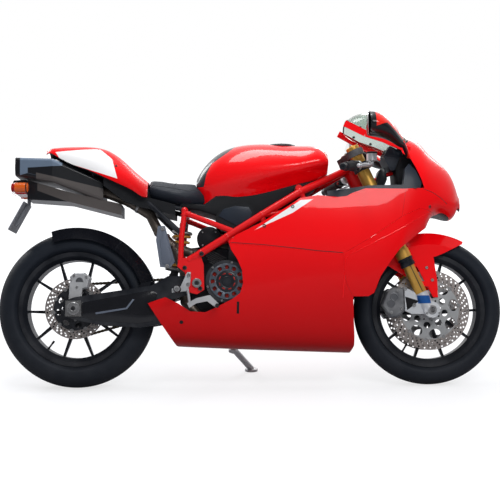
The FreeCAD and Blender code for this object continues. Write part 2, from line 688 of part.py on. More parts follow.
def band_wire(points, inward, wall):
    """An open line of points given a wall's thickness towards a side, as one closed wire."""
    inner = []
    last = len(points) - 1
    for index, point in enumerate(points):
        before = points[max(index - 1, 0)]
        after = points[min(index + 1, last)]
        side = (after - before).cross(inward).normalize()
        inner.append(point + side * wall)
    outer_edge = spline_edge(points)
    inner_edge = spline_edge(inner)
    start = Part.makeLine(inner[0], points[0])
    end = Part.makeLine(points[-1], inner[-1])
    return Part.Wire(Part.__sortEdges__([outer_edge, end, inner_edge, start]))


def rod(start, end, radius, bore=0):
    axis = end - start
    solid = Part.makeCylinder(radius, axis.Length, start, axis)
    if bore:
        solid = solid.cut(Part.makeCylinder(bore, axis.Length, start, axis))
    return solid


def cross_rod(centre, radius, y_from, y_to, bore=0):
    """A round bar that lies across the bike."""
    start = vec(centre.x, y_from, centre.z)
    return rod(start, vec(centre.x, y_to, centre.z), radius, bore)


def fused(shapes):
    whole = shapes[0]
    if len(shapes) > 1:
        whole = whole.multiFuse(shapes[1:])
    return whole.removeSplitter()


def largest(shape):
    return max(shape.Solids, key=lambda solid: solid.Volume)


def inside(piece, skin):
    """The part of a piece on the right side that lies within the skin."""
    return min(piece.cut(skin).Solids, key=lambda solid: -solid.BoundBox.YMax)


def mirrored(shape):
    return shape.mirror(vec(0, 0, 0), Y_AXIS)


def both_sides(shape):
    return Part.makeCompound([shape, mirrored(shape)])


def polar(centre, radius, degrees, y=0):
    """A point about a wheel's centre, in the wheel's own plane."""
    angle = math.radians(degrees)
    return vec(centre.x + radius * math.cos(angle), y, centre.z + radius * math.sin(angle))


def turned(profile, centre, degrees=FULL_TURN, start=0.0):
    """A wheel section of (radius, y) points turned about the wheel's centre."""
    angle = math.radians(start)
    out = vec(math.cos(angle), 0, math.sin(angle))
    points = [centre + out * radius + Y_AXIS * y for radius, y in profile]
    return polygon_face(points).revolve(centre, vec(0, -1, 0), degrees)


def bar_between(start, end, width_axis, sizes):
    """A straight arm that tapers from one rectangle to another."""
    run = (end - start).normalize()
    depth_axis = run.cross(width_axis).normalize()
    wide_axis = depth_axis.cross(run).normalize()
    wires = []
    for point, (width, depth) in zip((start, end), sizes):
        a = wide_axis * (width / 2)
        b = depth_axis * (depth / 2)
        corners = [point + a + b, point - a + b, point - a - b, point + a - b]
        wires.append(Part.makePolygon(corners + [corners[0]]))
    return loft(wires, True)


# Wheels
def tyre(centre, radius, width, rim_width):
    """A tyre whose tread is one round crown, seated between the rim's flanges."""
    crown = width / 2
    core = radius - crown
    bead_half = rim_width / 2 - RIM_FLANGE_WALL * 2 - SEAT_GAP
    neck_half = rim_width / 2 - RIM_FLANGE_WALL - SEAT_GAP
    low = BEAD_RADIUS + SEAT_GAP
    neck = FLANGE_RADIUS + SEAT_GAP
    bulge = (core + neck * 2) / 3
    bulge_half = (crown * 2 + neck_half) / 3
    if core > neck:
        edges = [Part.Arc(centre + vec(neck, -neck_half, 0), centre + vec(bulge, -bulge_half, 0),
                          centre + vec(core, -crown, 0)).toShape(),
                 Part.Arc(centre + vec(core, -crown, 0), centre + vec(radius, 0, 0),
                          centre + vec(core, crown, 0)).toShape(),
                 Part.Arc(centre + vec(core, crown, 0), centre + vec(bulge, bulge_half, 0),
                          centre + vec(neck, neck_half, 0)).toShape()]
    else:
        side = math.sqrt(crown ** 2 - (neck - core) ** 2)
        edges = [Part.makeLine(centre + vec(neck, -neck_half, 0), centre + vec(neck, -side, 0)),
                 Part.Arc(centre + vec(neck, -side, 0), centre + vec(radius, 0, 0),
                          centre + vec(neck, side, 0)).toShape(),
                 Part.makeLine(centre + vec(neck, side, 0), centre + vec(neck, neck_half, 0))]
    edges += [Part.makeLine(centre + vec(neck, neck_half, 0), centre + vec(low, bead_half, 0)),
              Part.makeLine(centre + vec(low, bead_half, 0), centre + vec(low, -bead_half, 0)),
              Part.makeLine(centre + vec(low, -bead_half, 0), centre + vec(neck, -neck_half, 0))]
    return Part.Face(Part.Wire(edges)).revolve(centre, Y_AXIS, FULL_TURN)


def rim(centre, rim_width, hub_radius, hub_width, bore):
    half = rim_width / 2
    profile = [
        (RIM_WELL_RADIUS, -half * RIM_WELL_SHARE), (RIM_WELL_RADIUS, half * RIM_WELL_SHARE),
        (BEAD_RADIUS - RIM_WALL, half), (FLANGE_RADIUS, half), (FLANGE_RADIUS, half - RIM_FLANGE_WALL),
        (BEAD_RADIUS, half - RIM_FLANGE_WALL * 2), (RIM_WELL_RADIUS + RIM_WALL,
            half * RIM_WELL_SHARE / 2),
        (RIM_WELL_RADIUS + RIM_WALL, -half * RIM_WELL_SHARE / 2), (BEAD_RADIUS,
            -half + RIM_FLANGE_WALL * 2),
        (FLANGE_RADIUS, -half + RIM_FLANGE_WALL), (FLANGE_RADIUS, -half), (BEAD_RADIUS - RIM_WALL, -half),
    ]
    parts = [turned(profile, centre), cross_rod(centre, hub_radius, -hub_width / 2, hub_width / 2)]
    root_radius = hub_radius - SPOKE_ROOT_WIDTH / 2
    for pair in range(SPOKE_PAIRS):
        middle = SPOKE_PAIR_DEGREES + pair * FULL_TURN / SPOKE_PAIRS
        for spread in (-SPOKE_SPREAD_DEGREES, SPOKE_SPREAD_DEGREES):
            root = polar(centre, root_radius, middle)
            tip = polar(centre, RIM_WELL_RADIUS + RIM_WALL / 2, middle + spread)
            across_spoke = (tip - root).cross(Y_AXIS).normalize()
            parts.append(bar_between(root, tip, across_spoke, (
                (SPOKE_ROOT_WIDTH, SPOKE_ROOT_DEPTH), (SPOKE_TIP_WIDTH, SPOKE_TIP_DEPTH))))
    whole = fused(parts)
    return whole.cut(cross_rod(centre, bore, -hub_width, hub_width))


def brake_disc(centre, radius, band, thickness, y, hub_radius):
    """A drilled ring on a carrier of open arms."""
    half = thickness / 2
    ring = cross_rod(centre, radius, y - half, y + half, radius - band)
    holes = []
    for index in range(DISC_HOLE_COUNT):
        angle = index * FULL_TURN / DISC_HOLE_COUNT
        spot = polar(centre, radius - band / 2, angle)
        holes.append(cross_rod(spot, DISC_HOLE_RADIUS, y - thickness, y + thickness))
    ring = ring.cut(Part.makeCompound(holes))
    carrier_half = DISC_CARRIER_THICKNESS / 2
    inner = cross_rod(centre, hub_radius + CARRIER_ARM_WIDTH, y - carrier_half, y + carrier_half,
        hub_radius)
    rest = [inner]
    for index in range(CARRIER_ARMS):
        angle = index * FULL_TURN / CARRIER_ARMS
        root = polar(centre, hub_radius + CARRIER_ARM_WIDTH / 2, angle, y)
        tip = polar(centre, radius - band / 2, angle + FULL_TURN / CARRIER_ARMS / 2, y)
        flat = (tip - root).cross(Y_AXIS).normalize()
        rest.append(bar_between(root, tip, flat, (
            (CARRIER_ARM_WIDTH, DISC_CARRIER_THICKNESS), (CARRIER_ARM_WIDTH, DISC_CARRIER_THICKNESS))))
    return fused([ring] + rest)


# Bodywork skins
def skin_section(row, x_share):
    """One side of the fairing across the bike, from its keel up to its ridge."""
    return [place(x_share, -y_share, z_share) for y_share, z_share in row]


def filled_in(stations):
    """The stations with even steps between those that lie far apart, which keeps the skin straight."""
    filled = stations[:1]
    for (x_a, row_a), (x_b, row_b) in zip(stations, stations[1:]):
        count = max(1, round((x_b - x_a) / STATION_STEP_SHARE))
        for step in range(1, count + 1):
            share = step / count
            row = [(y_a + (y_b - y_a) * share, z_a + (z_b - z_a) * share)
                   for (y_a, z_a), (y_b, z_b) in zip(row_a, row_b)]
            filled.append((x_a + (x_b - x_a) * share, row))
    return filled


def fairing_skin():
    wires = []
    for x_share, row in filled_in(FAIRING_SECTION_SHARES):
        wires.append(band_wire(skin_section(row, x_share), X_AXIS, PANEL_WALL))
    return loft(wires)


def trimmed_panel(skin, outline_shares, ahead=0, above=0):
    """One panel of the skin, its outline moved by its part of the seams round it."""
    cutter = side_plate(side_points(outline_shares), -BODY_WIDTH, 0)
    cutter.translate(vec(ahead, 0, above))
    return skin.common(cutter)


def belly_pans(skin):
    """The two lower pans, which meet below the engine, with room for the stand's lug."""
    half = trimmed_panel(skin, BELLY_OUTLINE_SHARES, 0, -SEAM_GAP / 2)
    seam = Part.makeBox(WHEELBASE * 2, PANEL_GAP, BODY_HEIGHT, vec(-WHEELBASE, -PANEL_GAP / 2, 0))
    half = half.cut(seam)
    return Part.makeCompound([half, mirrored(half).cut(stand_bracket(RUNNING_GAP))])


def nose_fairing(skin):
    half = trimmed_panel(skin, NOSE_OUTLINE_SHARES, SEAM_GAP, SEAM_GAP)
    arm = fused([bar_between(place(*a), place(*b), Z_AXIS, (
        (SCREEN_ARM_WIDTH, SCREEN_ARM_DEPTH), (SCREEN_ARM_WIDTH, SCREEN_ARM_DEPTH)))
        for a, b in zip(SCREEN_ARM_SHARES, SCREEN_ARM_SHARES[1:])])
    half = fused([half, arm])
    whole = fused([half, mirrored(half)])
    for centre, radius in ((UPPER_LAMP_SHARES, UPPER_LAMP_RADIUS),
        (LOWER_LAMP_SHARES, LOWER_LAMP_RADIUS)):
        spot = place(*centre)
        whole = whole.cut(Part.makeCylinder(radius, LAMP_REACH, spot, X_AXIS))
    return whole


def headlamps():
    """Two lamps, one above the other, each a bowl with a domed lens."""
    lamps = []
    for centre, radius in ((UPPER_LAMP_SHARES, UPPER_LAMP_RADIUS),
        (LOWER_LAMP_SHARES, LOWER_LAMP_RADIUS)):
        spot = place(*centre)
        body = Part.makeCylinder(radius - PANEL_GAP, radius, spot, X_AXIS)
        dome = Part.makeSphere(radius - PANEL_GAP, spot + X_AXIS * radius)
        lamps.append(fused([body,
            dome.common(Part.makeCylinder(radius, radius, spot + X_AXIS * radius, X_AXIS))]))
    plate = Part.makeBox(LAMP_BACK_THICKNESS, LAMP_BACK_WIDTH, LAMP_BACK_HEIGHT,
                         place(*LAMP_BACK_SHARES) - Y_AXIS * (LAMP_BACK_WIDTH / 2))
    return fused(lamps + [plate])


def windscreen():
    wires = []
    for x, foot_y, foot_z, mid_y, mid_z, ridge_z in SCREEN_SECTION_SHARES:
        half = [place(x, -foot_y, foot_z), place(x, -mid_y, mid_z)]
        points = half + [place(x, 0, ridge_z)] + [vec(p.x, -p.y, p.z) for p in reversed(half)]
        wires.append(band_wire(points, X_AXIS, SCREEN_WALL))
    return loft(wires)


def tank_ring(row):
    x, ridge, crease_y, crease_z, wide_y, wide_z, bottom = row
    crown_z = ridge - (ridge - crease_z) * TANK_TOP_SHARE / 2
    half = [(crease_y * TANK_TOP_SHARE, crown_z), (crease_y, crease_z), (wide_y, wide_z),
            (wide_y * (1 + TANK_BOTTOM_SHARE) / 2, (wide_z + bottom) / 2), (wide_y * TANK_BOTTOM_SHARE,
                bottom)]
    points = [place(x, 0, ridge)] + [place(x, -y, z) for y, z in half]
    points += [place(x, 0, bottom)] + [place(x, y, z) for y, z in reversed(half)]
    return ring_wire(points)


def fuel_tank():
    whole = loft([tank_ring(row) for row in TANK_SECTION_SHARES])
    well = Part.makeCylinder(CAP_RADIUS + CAP_RING, CAP_WELL_HEIGHT, place(*CAP_SHARES))
    rest = place(*CROSS_TUBE_SHARES[1])
    return whole.cut(well).cut(cross_rod(rest, CROSS_TUBE_RADIUS + SEAT_GAP, rest.y, -rest.y))


def cap_hinge():
    return place(*CAP_SHARES) + vec(CAP_RADIUS + CAP_HINGE_RADIUS / 2, 0, CAP_HINGE_RADIUS + SEAT_GAP)


def fuel_cap():
    seat = place(*CAP_SHARES) + Z_AXIS * SEAT_GAP
    lid = Part.makeCylinder(CAP_RADIUS, CAP_THICKNESS, seat)
    knuckle = cross_rod(cap_hinge(), CAP_HINGE_RADIUS, -CAP_HINGE_WIDTH / 2, CAP_HINGE_WIDTH / 2)
    return fused([lid, knuckle])


def rounded_ring(x, half_width, top, bottom, shoulder):
    """A cushion-like section: flat in the middle and round at its sides."""
    middle = (top + bottom) / 2
    half = [(half_width * shoulder, top), (half_width, middle), (half_width * shoulder, bottom)]
    points = [place(x, 0, top)] + [place(x, -y, z) for y, z in half]
    points += [place(x, 0, bottom)] + [place(x, y, z) for y, z in reversed(half)]
    return ring_wire(points)


def seat_pad(tank):
    """The rider's pad, whose nose tucks under the tank's rear."""
    pad = loft([rounded_ring(x, y, top, low, SEAT_SHOULDER_SHARE) for x, y, top,
        low in SEAT_SECTION_SHARES])
    room = tank.copy()
    room.translate(vec(-SEAT_GAP * 2, 0, -SEAT_GAP * 2))
    pad = pad.cut(room)
    rails = [place(*p) for p in RAIL_SHARES[:2]]
    for side in (1, -1):
        a, b = [vec(p.x, p.y * side, p.z) for p in rails]
        pad = pad.cut(rod(a + (a - b) * SEAT_RAIL_SHARE, b + (b - a) * SEAT_RAIL_SHARE,
            SUBFRAME_RADIUS * WELD_SHARE + SEAT_GAP))
    pad = pad.cut(cross_rod(place(*RAIL_SHARES[1]), SUBFRAME_RADIUS + SEAT_GAP, across(RAIL_SHARES[1][1]),
        -across(RAIL_SHARES[1][1])))
    return pad


def tail_cowl(rails):
    """A thin cowl with posts down to the rails of the subframe."""
    wires = []
    for x, y, low, shoulder, ridge in TAIL_SECTION_SHARES:
        crown = ridge - (ridge - shoulder) * TAIL_CROWN_SHARE / 2
        half = [place(x, -y, low), place(x, -y * TAIL_SHOULDER_SHARE, shoulder),
                place(x, -y * TAIL_CROWN_SHARE, crown)]
        points = half + [place(x, 0, ridge)] + [vec(p.x, -p.y, p.z) for p in reversed(half)]
        wires.append(band_wire(points, X_AXIS, PANEL_WALL))
    shell = loft(wires)
    posts = []
    for share in COWL_POST_X_SHARES:
        foot = on_rail(along(share))
        ray = Part.makeLine(foot, vec(foot.x, foot.y, BODY_HEIGHT)).common(shell)
        roof = min(v.Z for v in ray.Vertexes)
        post = rod(foot, vec(foot.x, foot.y, roof + PANEL_WALL / 4), COWL_POST_RADIUS)
        posts += [post, mirrored(post)]
    return largest(fused([shell] + posts).cut(rails))


def box_ring(x, half_width, top, bottom):
    corners = [place(x, -half_width, bottom), place(x, half_width, bottom),
               place(x, half_width, top), place(x, -half_width, top)]
    return Part.makePolygon(corners + [corners[0]])


def silencer():
    body = loft([box_ring(*row) for row in SILENCER_SHARES], True)
    body = body.makeFillet(SILENCER_ROUND,
        [e for e in body.Edges if abs(e.tangentAt(e.FirstParameter).x) > ALONG_SHARE])
    for side in (-1, 1):
        mouth = vec(along(SILENCER_SHARES[0][0]) - OVERRUN / 2, side * OUTLET_SPREAD, up(OUTLET_Z_SHARE))
        body = body.cut(Part.makeCylinder(OUTLET_RADIUS, OUTLET_DEPTH, mouth, X_AXIS))
    return fused([body, undertail()])


def undertail():
    return loft([box_ring(*row) for row in UNDERTAIL_SHARES], True)


def tail_tray(frame, rails, pipes):
    """The open tray below the seat, with cut-outs for the struts and pipes that pass it."""
    outer = loft([box_ring(*row) for row in TRAY_SHARES], True)
    wall = PANEL_WALL / BODY_HEIGHT
    inner = loft([box_ring(x, y - PANEL_WALL / BODY_WIDTH, top + wall, low + wall) for x, y, top,
        low in TRAY_SHARES], True)
    return outer.cut(inner).cut(rails).cut(pipes).cut(frame)


def lamp_front():
    """The middle of the lamp's front face, against the rear of the box below the silencer."""
    return vec(along(UNDERTAIL_SHARES[0][0]) - SEAT_GAP, 0, up(LAMP_Z_SHARE))


def rear_lamps():
    """The tail lamp with an indicator pod on a short stalk each side."""
    front = lamp_front()
    body = Part.makeBox(TAIL_LAMP_LENGTH, TAIL_LAMP_WIDTH, TAIL_LAMP_HEIGHT,
                        front - vec(TAIL_LAMP_LENGTH, TAIL_LAMP_WIDTH / 2, TAIL_LAMP_HEIGHT / 2))
    body = body.makeFillet(TAIL_LAMP_HEIGHT / 4,
        [e for e in body.Edges if abs(e.tangentAt(e.FirstParameter).y) > ALONG_SHARE])
    centre = place(*INDICATOR_PLACE_SHARES)
    pod = Part.makeCylinder(INDICATOR_RADIUS, INDICATOR_LENGTH, centre - X_AXIS * (INDICATOR_LENGTH / 2),
        X_AXIS)
    pod = pod.makeFillet(INDICATOR_RADIUS / 2, pod.Edges)
    inner = vec(centre.x, -TAIL_LAMP_WIDTH / 2 + BRACKET_WIDTH, centre.z)
    side = fused([pod, rod(inner, centre, INDICATOR_STALK_RADIUS)])
    return fused([body, side, mirrored(side)])


def plate_holder():
    """A bare plate that hangs below the lamp, and the arm that holds it."""
    top = place(*PLATE_TOP_SHARES)
    hang = (place(*PLATE_FOOT_SHARES) - top).normalize()
    face = hang.cross(Y_AXIS).normalize()
    corner = top - Y_AXIS * (PLATE_WIDTH / 2)
    corners = [corner, corner + Y_AXIS * PLATE_WIDTH, corner + Y_AXIS * PLATE_WIDTH + hang * PLATE_HEIGHT,
               corner + hang * PLATE_HEIGHT]
    plate = polygon_face(corners).extrude(face * PLATE_THICKNESS)
    behind = face * (PLATE_THICKNESS + SEAT_GAP + BRACKET_THICKNESS / 2)
    size = (BRACKET_WIDTH, BRACKET_THICKNESS)
    root_x = lamp_front().x - BRACKET_THICKNESS / 2
    root_top = lamp_front().z - TAIL_LAMP_HEIGHT / 2 - SEAT_GAP
    arm = [bar_between(vec(root_x, 0, root_top), vec(root_x, 0, (top + behind).z - BRACKET_THICKNESS),
        Y_AXIS, (size, size)),
           bar_between(top + behind, top + behind + hang * PLATE_HEIGHT * BRACKET_REACH_SHARE, Y_AXIS,
               (size, size))]
    return Part.makeCompound([plate, fused(arm)])


def steering_point(along_axis, y=0, lead=None):
    """A point by its distance up the steering axis from beside the front axle."""
    rake = math.radians(RAKE_DEGREES)
    ahead = -STEERING_OFFSET if lead is None else lead
    upward = vec(-math.sin(rake), 0, math.cos(rake))
    forward = vec(math.cos(rake), 0, math.sin(rake))
    return FRONT_AXLE + upward * along_axis + forward * ahead + Y_AXIS * y


STEERING_UP = (steering_point(1) - steering_point(0)).normalize()


def tube_run(points, radius):
    rods = [rod(a, b, radius) for a, b in zip(points, points[1:])]
    joints = [Part.makeSphere(radius * WELD_SHARE, p) for p in points]
    return rods + joints


def frame_trellis():
    """Welded tubes each side from the steering head to the cast swingarm plates."""
    top = [steering_point(HEAD_TUBE_NODES[0], -HEAD_TUBE_RADIUS / 2)] + [place(*p)
        for p in MAIN_TUBE_SHARES]
    low = [steering_point(HEAD_TUBE_NODES[1], -HEAD_TUBE_RADIUS / 2)] + [place(*p)
        for p in LOWER_TUBE_SHARES]
    side = tube_run(top, FRAME_TUBE_RADIUS) + tube_run(low, FRAME_TUBE_RADIUS)
    side += tube_run([place(*p) for p in UPRIGHT_SHARES], FRAME_BRACE_RADIUS)
    for start, end in DIAGONAL_SHARES:
        side.append(rod(place(*start), place(*end), FRAME_BRACE_RADIUS))
    foot = place(*LOWER_TUBE_SHARES[-1])
    side.append(cross_rod(foot, ENGINE_LUG_RADIUS, foot.y, -CRANKCASE_HALF - SEAT_GAP))
    casting = side_plate(side_points(PIVOT_CASTING_SHARES), -CASTING_OUTER,
        -CASTING_OUTER + CASTING_THICKNESS)
    side.append(casting)
    right = fused(side)
    left = mirrored(right)
    head = rod(steering_point(HEAD_LOW), steering_point(HEAD_HIGH), HEAD_TUBE_RADIUS)
    bars = []
    for share in CROSS_TUBE_SHARES:
        spot = place(*share)
        bars.append(cross_rod(spot, CROSS_TUBE_RADIUS, spot.y, -spot.y))
    pin = place(*SHOCK_TOP_SHARES)
    pin_half = across(-UPRIGHT_SHARES[0][1])
    bars.append(cross_rod(pin, SHOCK_PIN_RADIUS, -pin_half, pin_half))
    stay = [steering_point(STAY_ALONG, 0, STAY_LEAD)] + [place(*p) for p in STAY_SHARES]
    whole = fused([right, left, head] + bars + tube_run(stay, STAY_RADIUS) + [swingarm_pivot()])
    bore = rod(steering_point(HEAD_LOW - OVERRUN), steering_point(HEAD_HIGH + OVERRUN),
        STEM_RADIUS + SEAT_GAP)
    return whole.cut(bore)


def on_rail(x):
    """The point of the right rail at a distance along the bike."""
    points = [place(*p) for p in RAIL_SHARES]
    for a, b in zip(points, points[1:]):
        if b.x <= x <= a.x:
            return a + (b - a) * ((x - a.x) / (b.x - a.x))
    return points[-1]


def silencer_top(x):
    rear, middle, front = [(along(row[0]), up(row[2])) for row in SILENCER_SHARES]
    a, b = (rear, middle) if x < middle[0] else (middle, front)
    return a[1] + (b[1] - a[1]) * (x - a[0]) / (b[0] - a[0])


def subframe(frame, muffler):
    """Rails and struts behind the frame, with drop lugs that hold the silencer."""
    side = tube_run([place(*p) for p in RAIL_SHARES], SUBFRAME_RADIUS)
    for start, end in STRUT_SHARES:
        side.append(rod(place(*start), place(*end), SUBFRAME_RADIUS))
    for share in HANGER_X_SHARES:
        spot = on_rail(along(share))
        side.append(rod(spot, vec(spot.x, spot.y, silencer_top(spot.x)), SUBFRAME_RADIUS / 2))
    right = fused(side)
    cross = []
    for share in (RAIL_SHARES[1], RAIL_SHARES[2]):
        spot = place(*share)
        cross.append(cross_rod(spot, SUBFRAME_RADIUS, spot.y, -spot.y))
    return fused([right, mirrored(right)] + cross).cut(frame).cut(muffler)


def skin_inside(skin, x, z):
    """How far out the right skin's inner face lies at a place in the side view."""
    line = Part.makeLine(vec(x, -BODY_WIDTH, z), vec(x, 0, z)).common(skin)
    return max(v.Y for v in line.Vertexes)


def engine_block(skin):
    """The crankcase, cylinders and covers, with studs out to the lower pans."""
    case = side_plate(side_points(CRANKCASE_SHARES), -CRANKCASE_HALF, CRANKCASE_HALF)
    front = side_plate(side_points(FRONT_CYLINDER_SHARES), -CYLINDER_HALF, CYLINDER_HALF)
    upright = side_plate(side_points(UPRIGHT_CYLINDER_SHARES), -CYLINDER_HALF, CYLINDER_HALF)
    case = case.makeFillet(ENGINE_ROUND,
        [e for e in case.Edges if abs(e.tangentAt(e.FirstParameter).y) < ALONG_SHARE])
    pivot_boss = Part.makeBox(ENGINE_TAIL_LENGTH, ENGINE_TAIL_WIDTH, ENGINE_TAIL_HEIGHT,
                              place(*PIVOT_SHARES) + vec(-ENGINE_TAIL_LENGTH / 3, -ENGINE_TAIL_WIDTH / 2,
                                  -ENGINE_TAIL_HEIGHT / 2))
    whole = fused([case, front, upright, pivot_boss])
    alternator = cross_rod(place(*ALTERNATOR_SHARES), ALTERNATOR_RADIUS, CRANKCASE_HALF - OVERRUN,
        ALTERNATOR_REACH)
    sprocket_well = cross_rod(place(*FRONT_SPROCKET_SHARES),
        FRONT_SPROCKET_RADIUS + CHAIN_RUN_GAP + CHAIN_DEPTH + RUNNING_GAP + SEAT_GAP,
        CHAIN_OFFSET - SPROCKET_WELL, BODY_WIDTH)
    clutch_base = cross_rod(place(*CLUTCH_SHARES), CLUTCH_RADIUS - CLUTCH_STEP, -CLUTCH_BASE_REACH,
        -CRANKCASE_HALF + OVERRUN)
    whole = fused([whole, alternator, clutch_base])
    shaft = cross_rod(place(*FRONT_SPROCKET_SHARES), SPROCKET_SHAFT_RADIUS,
        CHAIN_OFFSET - SPROCKET_WELL - OVERRUN, CHAIN_OFFSET - SPROCKET_THICKNESS / 2)
    studs = []
    for share in PAN_STUD_SHARES:
        x, z = along(share[0]), up(share[1])
        stud = cross_rod(vec(x, 0, z), PAN_STUD_RADIUS, skin_inside(skin, x, z) - PANEL_WALL / 2,
            -CRANKCASE_HALF / 2)
        studs.append(largest(stud.cut(skin)))
    studs += [mirrored(stud) for stud in studs]
    whole = fused([whole.cut(sprocket_well).cut(chain_room()), shaft, front_sprocket(),
        stand_bracket()] + studs)
    return whole.cut(cross_rod(place(*PIVOT_SHARES), PIVOT_RADIUS + SEAT_GAP, -BODY_WIDTH, BODY_WIDTH))


def clutch_cover():
    """A round cover with a ring of vents round its middle."""
    centre = place(*CLUTCH_SHARES)
    base = -CLUTCH_BASE_REACH - SEAT_GAP
    drum = cross_rod(centre, CLUTCH_RADIUS - CLUTCH_COVER_RIM / 4, -CLUTCH_COVER_REACH, base)
    hollow = cross_rod(centre, CLUTCH_RADIUS - CLUTCH_COVER_RIM, -CLUTCH_COVER_REACH + PANEL_WALL,
        base + OVERRUN)
    drum = drum.cut(hollow)
    for index in range(CLUTCH_VENTS):
        spot = polar(centre, CLUTCH_RADIUS - CLUTCH_COVER_RIM * 2, index * FULL_TURN / CLUTCH_VENTS)
        drum = drum.cut(cross_rod(spot, CLUTCH_COVER_RIM / 2, -CLUTCH_COVER_REACH - OVERRUN,
            -CLUTCH_BASE_REACH))
    return drum


def swingarm():
    """Two box arms joined ahead of the wheel, with the pivot's tube through both."""
    arm = side_plate(side_points(SWINGARM_OUTLINE_SHARES), -ARM_OUTER, -ARM_INNER)
    bridge = side_plate(side_points(ARM_BRIDGE_SHARES), -ARM_INNER - SEAT_GAP, ARM_INNER + SEAT_GAP)
    ear_from = -SHOCK_EYE_HALF - SEAT_GAP
    ear = side_plate(side_points(SHOCK_EAR_SHARES), ear_from - SHOCK_EAR_THICKNESS, ear_from)
    pin = cross_rod(place(*SHOCK_FOOT_SHARES), SHOCK_PIN_RADIUS, ear_from, -ear_from)
    slot = cross_rod(REAR_AXLE, REAR_AXLE_RADIUS + SEAT_GAP, -BODY_WIDTH, BODY_WIDTH)
    whole = fused([arm, mirrored(arm), bridge, ear, mirrored(ear), pin])
    tyre_room = cross_rod(REAR_AXLE, REAR_TYRE_RADIUS + RUNNING_GAP * 2,
        -REAR_TYRE_WIDTH / 2 - RUNNING_GAP, REAR_TYRE_WIDTH / 2 + RUNNING_GAP)
    whole = whole.cut(tyre_room).cut(slot)
    return whole.cut(cross_rod(place(*PIVOT_SHARES), PIVOT_RADIUS + SEAT_GAP, -BODY_WIDTH, BODY_WIDTH))


def swingarm_pivot():
    return cross_rod(place(*PIVOT_SHARES), PIVOT_RADIUS, -CASTING_OUTER - PANEL_WALL,
        CASTING_OUTER + PANEL_WALL, PIVOT_RADIUS / 2)


def rear_axle():
    """The hollow rear axle with a square plate each side against the arms."""
    half = REAR_AXLE_LENGTH / 2
    parts = [cross_rod(REAR_AXLE, REAR_AXLE_RADIUS, -half, half)]
    plate = Part.makeBox(AXLE_PLATE, AXLE_PLATE_THICKNESS, AXLE_PLATE,
                         REAR_AXLE + vec(-AXLE_PLATE / 2, -ARM_OUTER - AXLE_PLATE_THICKNESS - SEAT_GAP,
                             -AXLE_PLATE / 2))
    parts += [plate, mirrored(plate)]
    for side in (-1, 1):
        near = side * (REAR_HUB_WIDTH / 2 + SEAT_GAP)
        far = side * (ARM_INNER - SEAT_GAP)
        parts.append(cross_rod(REAR_AXLE, AXLE_COLLAR_RADIUS, min(near, far), max(near, far)))
    return fused(parts).cut(cross_rod(REAR_AXLE, REAR_AXLE_BORE, -BODY_WIDTH, BODY_WIDTH))


def front_axle():
    half = FRONT_AXLE_LENGTH / 2
    parts = [cross_rod(FRONT_AXLE, FRONT_AXLE_RADIUS, -half, half)]
    for side in (-1, 1):
        near = side * (FRONT_HUB_WIDTH / 2 + SEAT_GAP)
        far = side * (FORK_HALF_SPREAD - FORK_FOOT_RADIUS - SEAT_GAP)
        parts.append(cross_rod(FRONT_AXLE, AXLE_COLLAR_RADIUS, min(near, far), max(near, far)))
    return fused(parts).cut(cross_rod(FRONT_AXLE, FRONT_AXLE_BORE, -BODY_WIDTH, BODY_WIDTH))


# Steering
def fork_line(along_axis, side=-1):
    return steering_point(along_axis, side * FORK_HALF_SPREAD, -AXLE_LEAD)


def outer_tubes():
    tube = rod(fork_line(OUTER_TUBE_START), fork_line(FORK_TOP), OUTER_TUBE_RADIUS)
    ring = rod(fork_line(OUTER_TUBE_START + TUBE_RING), fork_line(OUTER_TUBE_START + TUBE_RING * 2),
        OUTER_TUBE_RADIUS + TUBE_RING_REACH)
    tube = fused([tube, ring])
    return both_sides(tube.cut(rod(fork_line(OUTER_TUBE_START - OVERRUN),
        fork_line(OUTER_TUBE_START + SLIDER_DEPTH), SLIDER_RADIUS + SEAT_GAP)))


def slider():
    return (rod(fork_line(FORK_FOOT_TOP - FOOT_SOCKET),
        fork_line(OUTER_TUBE_START + SLIDER_DEPTH - OVERRUN), SLIDER_RADIUS))


def fork_lowers():
    """The sliders and the castings that hold the front axle and carry the calipers."""
    barrel = rod(fork_line(-FOOT_DROP), fork_line(FORK_FOOT_TOP), FORK_FOOT_RADIUS)
    eye = cross_rod(FRONT_AXLE, FOOT_EYE_RADIUS, -FORK_HALF_SPREAD - FOOT_HALF_WIDTH,
        -FORK_HALF_SPREAD + FOOT_HALF_WIDTH)
    bracket = side_plate(side_points(CALIPER_BRACKET_SHARES), -BRACKET_OUTER, -BRACKET_INNER)
    foot = fused([barrel, eye, bracket, slider()])
    foot = foot.cut(cross_rod(FRONT_AXLE, FRONT_AXLE_RADIUS + SEAT_GAP, -BODY_WIDTH, 0))
    disc_room = cross_rod(FRONT_AXLE, FRONT_DISC_RADIUS + RUNNING_GAP,
        -FRONT_DISC_OFFSET - FRONT_DISC_THICKNESS / 2 - CALIPER_SLOT_CLEARANCE, 0)
    return both_sides(foot.cut(disc_room))


def caliper(outline_shares, y_outer, y_inner, centre, disc_radius, disc_offset, disc_thickness):
    """A block that straddles the disc, with a slot for the disc to run in."""
    body = side_plate(side_points(outline_shares), -y_outer, -y_inner)
    body = body.makeChamfer(CALIPER_CHAMFER,
        [e for e in body.Edges if abs(e.tangentAt(e.FirstParameter).y) < ALONG_SHARE])
    half = disc_thickness / 2 + CALIPER_SLOT_CLEARANCE
    slot = cross_rod(centre, disc_radius + RUNNING_GAP, -disc_offset - half, -disc_offset + half)
    return body.cut(slot)


def front_calipers():
    whole = caliper(FRONT_CALIPER_SHARES, CALIPER_OUTER, CALIPER_INNER, FRONT_AXLE,
                    FRONT_DISC_RADIUS, FRONT_DISC_OFFSET, FRONT_DISC_THICKNESS)
    return both_sides(whole)


